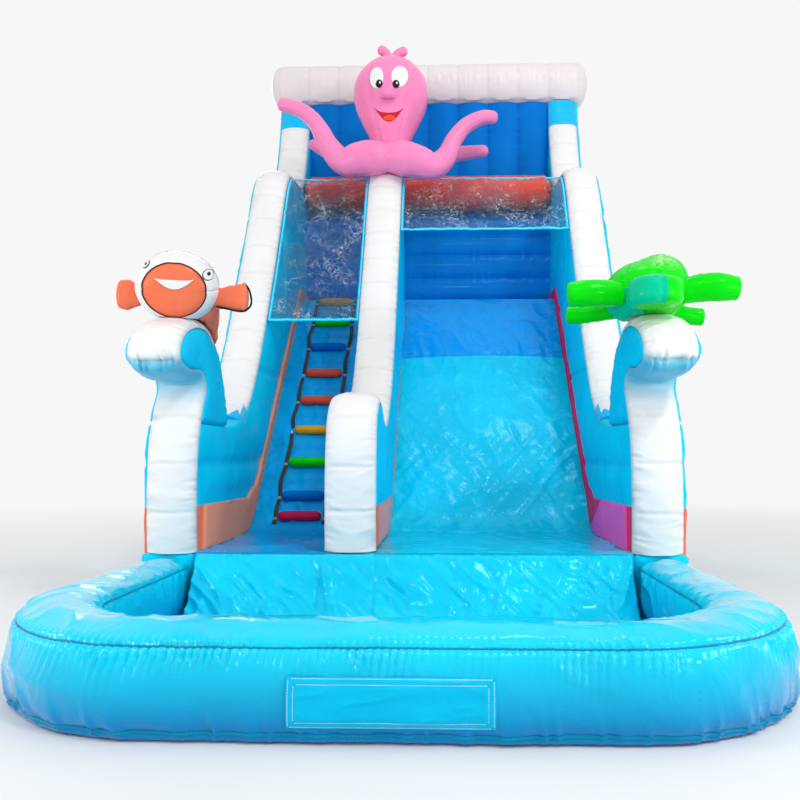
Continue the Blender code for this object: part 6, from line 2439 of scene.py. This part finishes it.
@dataclass
class Clownfish:
    """Orange clownfish on the left wave: body with white ring, blunt face, tail, two fins."""

    shop: Workshop
    origin: Triple = (-1.755, -0.05, 2.46)
    way: Triple = (0.22, -0.92, -0.32)
    oval: float = 0.88
    ring_radius: float = 0.210
    ring_end: float = -0.02

    def frame(self) -> Array:
        """Rows: the body's own across, up and forward directions."""
        forward = unit(np.array(self.way))
        across = -unit(np.cross(forward, [0.0, 0.0, 1.0]))
        up = np.cross(forward, across)
        up = up if up[2] > 0 else -up
        return np.stack([across, up, forward])

    def profile(self) -> Array:
        """Radius and place along the axis, from the blunt face back to the tail."""
        return smooth_line([
            (0.0, 0.24), (0.12, 0.236), (0.20, 0.215), (0.26, 0.15), (0.29, 0.03),
            (0.28, -0.10), (0.22, -0.22), (0.12, -0.30), (0.0, -0.33),
        ], 8)

    def face(self, lift: float) -> Callable[[Array, Array], Array]:
        """The blunt face over places across and up from the axis, lifted off it squarely."""
        profile = self.profile()
        front = profile[: int(np.argmax(profile[:, 0])) + 1]
        out = left_of(front)
        out = out if out[0, 1] > 0 else -out

        def at(across: Array, up: Array) -> Array:
            """Point on the face."""
            radius = np.hypot(across, up / self.oval)
            way = [np.interp(radius, front[:, 0], out[:, k]) for k in range(2)]
            grown = 1 + lift * way[0] / np.maximum(radius, 1e-6)
            forward = np.interp(radius, front[:, 0], front[:, 1]) + lift * way[1]
            local = np.stack([across * grown, up * grown, forward], -1)
            return np.array(self.origin) + local @ self.frame()

        return at

    def seat(self, piece: Piece) -> Piece:
        """Seat a piece on the left wave."""
        return seated(piece, wave_top(), -WALL_OUT, -WALL_IN)

    def band(self, body: Turned, name: str, low: float, high: float, lift: float) -> Piece:
        """A ring of cloth on the body between two shares of its profile, lifted off it."""
        h = np.linspace(low, high, max(4, round((high - low) / 0.008)))[:, None]
        a = np.linspace(0, 2 * pi, 109)[None, :]
        grid = body.point(*np.broadcast_arrays(h, a))
        grid = grid + lift * unit(grid - np.array(self.origin))
        return self.seat(sheet_piece(name, grid, 0.003))

    def build(self) -> None:
        """Build the body, the ring, the face, the tail and the fins."""
        profile = self.profile()
        body = Turned(profile, np.array(self.origin), self.frame(), gores=4, seed=201,
                      stretch=(1.0, self.oval), pucker=0.010, draw=0.004)
        self.shop.fit(self.seat(body.build("fish")), Cloth.orange, "fish_body", fill=0.95)
        share = arc(profile) / arc(profile)[-1]
        start = float(share[np.argmax(profile[:, 0] > self.ring_radius)])
        end = float(share[np.argmax(profile[:, 1] < self.ring_end)])
        self.shop.fit(self.band(body, "fish_ring", start, end, 0.005), Cloth.white)
        for name, at in (("front", start), ("rear", end)):
            piece = self.band(body, f"fish_line_{name}", at - 0.004, at + 0.004, 0.007)
            self.shop.fit(piece, Cloth.black)
        marks = [
            ("smile", Cloth.white, smile(0.003, 0.088, 0.142, 0.012, 0.078), 0.006),
            ("eye_left", Cloth.black, ellipse(-0.190, 0.163, 0.016, 0.030, -40), 0.010),
            ("eye_right", Cloth.black, ellipse(0.223, 0.112, 0.033, 0.037, 30), 0.010),
            ("white_left", Cloth.white, ellipse(-0.190, 0.163, 0.012, 0.026, -40), 0.013),
            ("white_right", Cloth.white, ellipse(0.223, 0.112, 0.029, 0.033, 30), 0.013),
            ("pupil_left", Cloth.black, ellipse(-0.190, 0.165, 0.006, 0.010, -40), 0.016),
            ("pupil_right", Cloth.black, ellipse(0.225, 0.118, 0.010, 0.012, 30), 0.016),
        ]
        for name, cloth, outline, lift in marks:
            self.shop.fit(patch_disc(f"fish_{name}", self.face(lift), outline, 0.002), cloth)
        tail = limb("fish_tail", [(-1.745, 0.03, 2.42, 0.22), (-1.73, 0.16, 2.37, 0.225),
                                  (-1.71, 0.30, 2.28, 0.17), (-1.70, 0.40, 2.17, 0.11)],
                    203, sides=48, start_cap=True)
        self.shop.fit(self.seat(tail), Cloth.orange, fill=0.9)
        fins = {
            "left": [(-1.96, 0.02, 2.42, 0.060), (-2.03, 0.02, 2.42, 0.075),
                     (-2.12, 0.02, 2.42, 0.106), (-2.205, 0.02, 2.42, 0.118)],
            "right": [(-1.54, 0.02, 2.385, 0.060), (-1.47, 0.02, 2.385, 0.075),
                      (-1.38, 0.02, 2.390, 0.096), (-1.275, 0.02, 2.392, 0.112)],
        }
        for number, (side, stations) in enumerate(fins.items()):
            fin = limb(f"fin_{side}", stations, 211 + number, sides=40, flatten=0.50, tip=0.30,
                       start_cap=True, pucker=0.22)
            self.shop.fit(fin, Cloth.orange, f"fish_fin_{side}", fill=0.8)
        edge = smooth_line([
            (-1.464, -0.02, 2.318), (-1.367, -0.02, 2.295), (-1.27, 0.0, 2.285),
            (-1.219, 0.02, 2.345), (-1.236, 0.02, 2.45), (-1.275, 0.02, 2.50),
        ], 6)
        piping = np.column_stack([edge, np.full(len(edge), 0.008)])
        piece = limb("fin_piping", piping[::3], 215, sides=10, start_cap=True, pucker=0.0)
        self.shop.fit(piece, Cloth.black)


@dataclass
class Turtle:
    """Green turtle on the right wave: humped shell, teal belly, box head, flat flippers.

    The shell is the soft union of two ellipsoids seen from the first one's middle: along
    each direction its radius is log(exp(k a) + exp(k b)) / k of their two radii a and b.
    """

    shop: Workshop
    middle: Triple = (1.75, 0.10, 2.43)
    size: Triple = (0.315, 0.35, 0.24)
    hump_middle: Triple = (1.84, 0.06, 2.50)
    hump_size: Triple = (0.21, 0.26, 0.21)
    union: float = 60.0
    gores: int = 8

    def shell(self, down: Array, round_it: Array, lift: float = 0.0) -> Array:
        """Points of the shell.

        Args:
            down: angles from the top.
            round_it: angles round the upright axis, of the same shape.
            lift: distance off the shell.

        Returns:
            Points in the slide's frame.
        """
        way = np.stack([np.sin(down) * np.cos(round_it), np.sin(down) * np.sin(round_it),
                        np.cos(down)], -1)
        first = 1 / np.linalg.norm(way / np.array(self.size), axis=-1)
        start = (np.array(self.middle) - np.array(self.hump_middle)) / np.array(self.hump_size)
        step = way / np.array(self.hump_size)
        a, b = (step**2).sum(-1), (step * start).sum(-1)
        second = (np.sqrt(b**2 - a * ((start**2).sum() - 1)) - b) / a
        radius = np.logaddexp(self.union * first, self.union * second) / self.union
        seam = off_gore(round_it, self.gores, radius * np.sin(down))
        fold = pleats(down * radius, seam, 0.045, 0.05, 221)
        swell = (0.014 * fold - 0.012 * dip(seam, 0.018)) * np.sin(down)
        return np.array(self.middle) + (radius + swell + lift - 0.006)[..., None] * way

    def block(self, grow: float) -> Turned:
        """The head: a turned body with a boxy profile."""
        turn = np.linspace(0, pi, 60)
        square = 4.0
        rise = np.sign(np.cos(turn)) * np.abs(np.cos(turn)) ** (2 / square)
        profile = np.stack([np.sin(turn) ** (2 / square) * (0.19 + grow),
                            rise * (0.105 + grow)], -1)
        return Turned(profile, np.array((1.705, -0.34, 2.335)), np.eye(3), gores=4, seed=223,
                      stretch=(1.0, 0.947))

    def seat(self, piece: Piece) -> Piece:
        """Seat a piece on the right wave."""
        return seated(piece, wave_top(), WALL_IN, WALL_OUT)

    def build(self) -> None:
        """Build the shell, the head and the flippers."""
        down = np.linspace(0.02, pi - 0.02, 84)[:, None]
        round_it = turns(128)
        grid = self.shell(*np.broadcast_arrays(down, round_it))
        seam = off_gore(round_it, self.gores, 0.3) + 0 * down
        body = tube_piece("turtle", grid[::-1], wear_and_shade=0.4 * dip(seam, 0.012), sharp=70)
        self.shop.fit(self.seat(body), Cloth.shell, "turtle_body", fill=0.95)
        d = np.linspace(1.62, 2.62, 30)[:, None]
        r = np.linspace(pi * 0.86, pi * 1.40, 60)[None, :]
        rib = 0.007 * np.abs(np.sin(14 * r)) ** 0.7
        grid = self.shell(*np.broadcast_arrays(d, r))
        grid = grid + (0.004 + rib)[..., None] * unit(grid - np.array(self.middle))
        self.shop.fit(self.seat(sheet_piece("turtle_belly", grid, 0.004)), Cloth.teal)
        head = self.block(0.0).build("turtle_face", 60, 64)
        self.shop.fit(head, Cloth.green, "turtle_head", fill=0.95)
        h = np.linspace(0.13, 0.72, 34)[:, None]
        a = np.linspace(pi * 0.98, pi * 1.56, 50)[None, :]
        grid = self.block(0.003).point(*np.broadcast_arrays(h, a))
        self.shop.fit(sheet_piece("turtle_cheek", grid, 0.003), Cloth.teal)
        flippers = {
            "flipper_left": [(1.52, -0.08, 2.38, 0.090), (1.40, -0.10, 2.385, 0.100),
                             (1.26, -0.12, 2.38, 0.100), (1.15, -0.12, 2.37, 0.088)],
            "flipper_right": [(1.98, -0.08, 2.40, 0.090), (2.10, -0.10, 2.42, 0.105),
                              (2.22, -0.12, 2.42, 0.105), (2.345, -0.12, 2.41, 0.088)],
            "rear_left": [(1.60, 0.22, 2.34, 0.08), (1.38, 0.24, 2.30, 0.07),
                          (1.26, 0.25, 2.29, 0.07), (1.19, 0.25, 2.29, 0.065)],
            "rear_right": [(1.90, 0.22, 2.34, 0.08), (2.06, 0.24, 2.29, 0.07),
                           (2.16, 0.25, 2.275, 0.07), (2.215, 0.25, 2.27, 0.07)],
        }
        for number, (name, stations) in enumerate(flippers.items()):
            nodes = [f"turtle_{name}"] if name.startswith("flipper") else []
            piece = limb(f"turtle_{name}_skin", stations, 231 + number, sides=36, flatten=0.80,
                         tip=0.30, start_cap=True, pucker=0.10)
            self.shop.fit(self.seat(piece), Cloth.green, *nodes, fill=0.85)


@dataclass
class Fittings:
    """Anchor rings and tabs, inflation sleeve, deflation zip and its slider."""

    shop: Workshop
    places: dict[str, tuple[float, float]] = field(
        default_factory=lambda: {"front": (0.16, 0.42), "rear": (4.20, 0.20)})
    bar_x: float = 2.0088
    wire: float = 0.004
    ring_width: float = 0.060
    ring_drop: float = 0.050
    tab_width: float = 0.038
    sleeve_x: float = -1.15
    sleeve_z: float = 0.195
    sleeve_radius: float = 0.18
    sleeve_length: float = 0.50
    sleeve_start: float = REAR_FACE + 0.0452
    zip_face: float = REAR_FACE + 0.0449

    def ring(self, side: int, y: float, z: float, body: str) -> None:
        """A D ring of round wire: straight bar on top, round below."""
        half = self.ring_width / 2
        turn = np.linspace(0, pi, 25)
        bow = np.stack([y + half * np.cos(turn), z - 0.012 - self.ring_drop * np.sin(turn)], -1)
        bar = np.array([(y - half + 0.004, z), (y, z), (y + half - 0.004, z), (y + half, z - 0.004)])
        loop = np.vstack([bar, bow, [(y - half, z - 0.004)]])
        loop = closed_line(loop, 0.003)
        out = left_of(loop, closed=True)
        angle = turns(14)
        flat = loop[:, None] + out[:, None] * (self.wire * np.cos(angle))[..., None]
        x = side * self.bar_x + self.wire * np.sin(angle) + 0 * flat[..., 0]
        grid = with_x(x, flat)
        piece = new_piece(f"{body}_wire", grid, grid_faces(*grid.shape[:2], torus=True))
        self.shop.fit(piece, Cloth.ring, body, body=body)

    def tab(self, side: int, y: float, z: float, node: str) -> None:
        """Webbing folded over the ring's bar and sewn flat on the wall above it."""
        bore = self.wire + 0.0024
        turn = np.linspace(pi / 2, -pi / 2, 14)
        wall = -(self.bar_x - WALL_OUT) + 0.0018
        loop = np.stack([bore * np.cos(turn), bore * np.sin(turn)], -1)
        line = np.vstack([[(wall + 0.0028, 0.083), (wall + 0.0028, 0.020)], loop,
                          [(wall, -0.006), (wall, 0.012)]])
        line = resample(smooth_line(line, 3), 0.002)
        ys = np.linspace(-0.5, 0.5, 9) * self.tab_width + y
        grid = placed(side * (self.bar_x + line[:, :1]), ys[None, :], z + line[:, 1:])
        uv = np.stack([grid[..., 1], grid[..., 2]], -1)
        piece = sheet_piece(f"{node}_strap", grid, 0.0022, uv)
        self.shop.fit(piece, Cloth.webbing, node)
        half = self.tab_width * 0.38
        low, high = z + 0.030, z + 0.072
        corner = [(y - half, low), (y + half, low), (y + half, high), (y - half, high)]
        pairs = [(0, 1), (1, 2), (2, 3), (3, 0), (0, 2), (1, 3)]
        x = side * (self.bar_x + wall + 0.0048)
        start, end = [], []
        for a, b in pairs:
            t = np.linspace(0, 1, 8)[:, None]
            line = np.array(corner[a]) + (np.array(corner[b]) - np.array(corner[a])) * t
            line = np.column_stack([np.full(8, x), line])
            start.append(line[:-1])
            end.append(line[:-1] + 0.7 * (line[1:] - line[:-1]))
        start, end = np.vstack(start), np.vstack(end)
        up = np.tile([float(side), 0.0, 0.0], (len(start), 1))
        self.shop.fit(threads(f"{node}_thread", start, end, up, 0.0014), Cloth.thread)

    def sleeve(self) -> None:
        """Inflation sleeve: a limp tube of cloth with a hemmed mouth."""
        run = np.linspace(0, self.sleeve_length, 60)[:, None]
        angle = turns(72)
        fold = ridges((0.35, 0.12), 241, np.cos(angle) * 0.6, np.sin(angle) * 0.3 + run)
        sag = 0.006 * (fold - 0.5) * ramp(run, 0.05)
        outer = self.sleeve_radius - 0.003 + sag - 0.004 * dip(run - 0.47, 0.004)
        inner = outer - 0.003
        rows = np.concatenate([outer, inner[::-1]])
        place = np.concatenate([run, run[::-1]])
        x = self.sleeve_x + rows * np.cos(angle)
        z = np.maximum(self.sleeve_z + rows * np.sin(angle), 0.004)
        grid = placed(x, self.sleeve_start + place, z)
        piece = new_piece("sleeve", grid, grid_faces(*grid.shape[:2], torus=True))
        self.shop.fit(piece, Cloth.sleeve, "inflation_sleeve")

    def zipper(self) -> None:
        """Deflation zip: woven tape with a row of teeth, and its slider."""
        face = self.zip_face
        xs = np.linspace(ZIP_X - ZIP_HALF, ZIP_X + ZIP_HALF, 141)
        zs = np.linspace(-0.02, 0.02, 9) + ZIP_Z
        x, z = np.meshgrid(xs, zs, indexing="ij")
        y = face + 0.0022 + 0.0008 * noise(0.05, 251, x, z)
        tape = sheet_piece("zip_cloth", np.stack([x, y, z], -1), 0.002, np.stack([x, z], -1))
        self.shop.fit(tape, Cloth.zip_tape, "deflation_zip")
        places = np.arange(xs[0] + 0.02, xs[-1] - 0.02, 0.004)
        row = np.column_stack([places, np.full(len(places), face + 0.0044),
                               np.full(len(places), ZIP_Z)])
        start = row + [0, 0, -0.0035]
        end = row + [0, 0, 0.0035]
        up = np.tile([0.0, 1.0, 0.0], (len(row), 1))
        self.shop.fit(threads("zip_teeth", start, end, up, 0.0026), Cloth.slider)
        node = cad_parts["zip_slider"]
        for number in range(len(node.material_slots)):
            node.material_slots[number].material = self.shop.finish(Cloth.slider)

    def build(self) -> None:
        """Build every fitting."""
        for side in Side:
            for place, (y, z) in self.places.items():
                self.ring(side.value, y, z, f"anchor_ring_{place}_{side.word}")
                self.tab(side.value, y, z, f"anchor_tab_{place}_{side.word}")
        self.sleeve()
        self.zipper()


@dataclass(frozen=True)
class Lamp:
    """A square soft lamp: where it hangs, what it faces, its side's length and its watts."""

    name: str
    at: Triple
    to: Triple
    size: float
    power: float

    def hang(self) -> None:
        """Make the lamp."""
        data = bpy.data.lights.new(self.name, "AREA")
        data.size = self.size
        data.energy = self.power
        lamp = bpy.data.objects.new(self.name, data)
        lamp.location = self.at
        way = Vector(self.to) - Vector(self.at)
        lamp.rotation_euler = way.to_track_quat("-Z", "Y").to_euler()
        bpy.context.scene.collection.objects.link(lamp)


LAMPS = (
    Lamp("key", (6.0, -8.0, 11.0), (0.0, 1.0, 2.4), 2.0, 450.0),
    Lamp("front", (0.4, -9.5, 8.5), (0.0, 0.5, 1.5), 1.3, 120.0),
    Lamp("spark_right", (7.5, -10.5, 3.2), (0.0, 0.0, 1.6), 1.1, 80.0),
    Lamp("spark_left", (-8.0, -10.5, 3.4), (0.0, 0.0, 1.6), 1.1, 80.0),
    Lamp("cross_right", (5.2, -3.2, 2.4), (-1.5, 0.5, 0.9), 1.2, 62.0),
    Lamp("cross_left", (-5.2, -3.2, 2.4), (1.5, 0.5, 0.9), 1.2, 62.0),
    Lamp("top", (1.3, 0.9, 8.6), (0.8, 1.8, 1.0), 0.9, 24.0),
    Lamp("rear", (-5.0, 13.0, 9.0), (0.0, 3.0, 3.0), 5.0, 400.0),
)


@dataclass
class Studio:
    """Camera of the photograph, pale floor, soft lamps and white surroundings."""

    camera_at: Triple = (0.268, -5.523, 1.21)
    tilt: float = 94.19
    turn: float = 1.5
    lens: float = 33.75
    shift: float = -0.0367
    ambient: float = 0.70
    backdrop: Triple = (0.93, 0.93, 0.93)

    def camera(self) -> None:
        """Camera with the photograph's view, found from its perspective."""
        data = bpy.data.cameras.new("camera")
        data.lens = self.lens
        data.sensor_width = 36.0
        data.shift_x = self.shift
        data.clip_end = 200.0
        camera = bpy.data.objects.new("camera", data)
        camera.location = self.camera_at
        camera.rotation_euler = (radians(self.tilt), 0.0, radians(self.turn))
        bpy.context.scene.collection.objects.link(camera)
        bpy.context.scene.camera = camera
        bpy.context.scene.view_settings.view_transform = "Standard"

    def floor(self) -> None:
        """Wide pale floor that keeps the slide's shadow."""
        half = 60.0
        points = np.array([(x * half, y * half, -0.001)
                           for x, y in ((-1, -1), (1, -1), (1, 1), (-1, 1))])
        piece = new_piece("floor", points, [[0, 1, 2, 3]], closed=False)
        graph = Graph("floor_paint")
        drift = graph.spread(graph.cloud(0.8, 2.0), 0.3, 0.7, 0.0, 1.0)
        tone = graph.blend(drift, (0.80, 0.80, 0.80), (0.82, 0.82, 0.82))
        graph.shade("Base Color", tone)
        graph.shade("Roughness", 0.9)
        graph.shade("Specular IOR Level", 0.1)
        away = graph.node("VectorMath", {0: graph.place()}, operation="LENGTH").outputs["Value"]
        far = graph.spread(away, 5.0, 15.0, 0.0, 1.0)
        white = graph.node("Emission", {"Color": (*self.backdrop, 1.0), "Strength": 1.0})
        blend = graph.node("MixShader", {0: far})
        graph.tree.links.new(graph.shader.outputs[0], blend.inputs[1])
        graph.tree.links.new(white.outputs[0], blend.inputs[2])
        graph.tree.links.new(blend.outputs[0], graph.output.inputs[0])
        piece.data.materials.append(graph.material)

    def surroundings(self) -> None:
        """Soft white light from all round, plain white where the camera sees past the floor."""
        world = bpy.data.worlds.new("studio")
        bpy.context.scene.world = world
        world.use_nodes = True
        tree = world.node_tree
        tree.nodes.clear()
        path = tree.nodes.new("ShaderNodeLightPath")
        first = tree.nodes.new("ShaderNodeMath")
        second = tree.nodes.new("ShaderNodeMath")
        for node in (first, second):
            node.operation = "MAXIMUM"
        light, seen = (tree.nodes.new("ShaderNodeBackground") for _ in range(2))
        light.inputs[0].default_value = (1.0, 1.0, 1.0, 1.0)
        light.inputs[1].default_value = self.ambient
        seen.inputs[0].default_value = (*self.backdrop, 1.0)
        seen.inputs[1].default_value = 1.0
        mix = tree.nodes.new("ShaderNodeMixShader")
        out = tree.nodes.new("ShaderNodeOutputWorld")
        for source, target in (
            (path.outputs["Is Camera Ray"], first.inputs[0]),
            (path.outputs["Is Glossy Ray"], first.inputs[1]),
            (first.outputs[0], second.inputs[0]),
            (path.outputs["Is Transmission Ray"], second.inputs[1]),
            (second.outputs[0], mix.inputs[0]), (light.outputs[0], mix.inputs[1]),
            (seen.outputs[0], mix.inputs[2]), (mix.outputs[0], out.inputs[0]),
        ):
            tree.links.new(source, target)

    def build(self) -> None:
        """Set up the whole studio."""
        self.camera()
        self.floor()
        self.surroundings()
        for lamp in LAMPS:
            lamp.hang()


def main() -> None:
    """Build the slide, piece by piece, and note how large it came out."""
    logging.basicConfig(level=logging.INFO, format="%(name)s %(message)s")
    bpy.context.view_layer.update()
    shop = Workshop()
    Studio().build()
    for side in Side:
        SideWall(side, shop).build()
    Divider(shop).build()
    Decks(shop).build()
    Ladder(shop).build()
    BackWall(shop).build()
    CoverFilm("climb", -WALL_IN + FILM_GAP, DIVIDER_LOW - FILM_GAP, 2.58, 261, shop).build()
    CoverFilm("slide", DIVIDER_HIGH + FILM_GAP, WALL_IN - FILM_GAP, 3.69, 271, shop).build()
    Pool(shop).build()
    Octopus(shop).build()
    Clownfish(shop).build()
    Turtle(shop).build()
    Fittings(shop).build()
    log.info("%d pieces", shop.count)


if __name__ == "__main__":
    main()
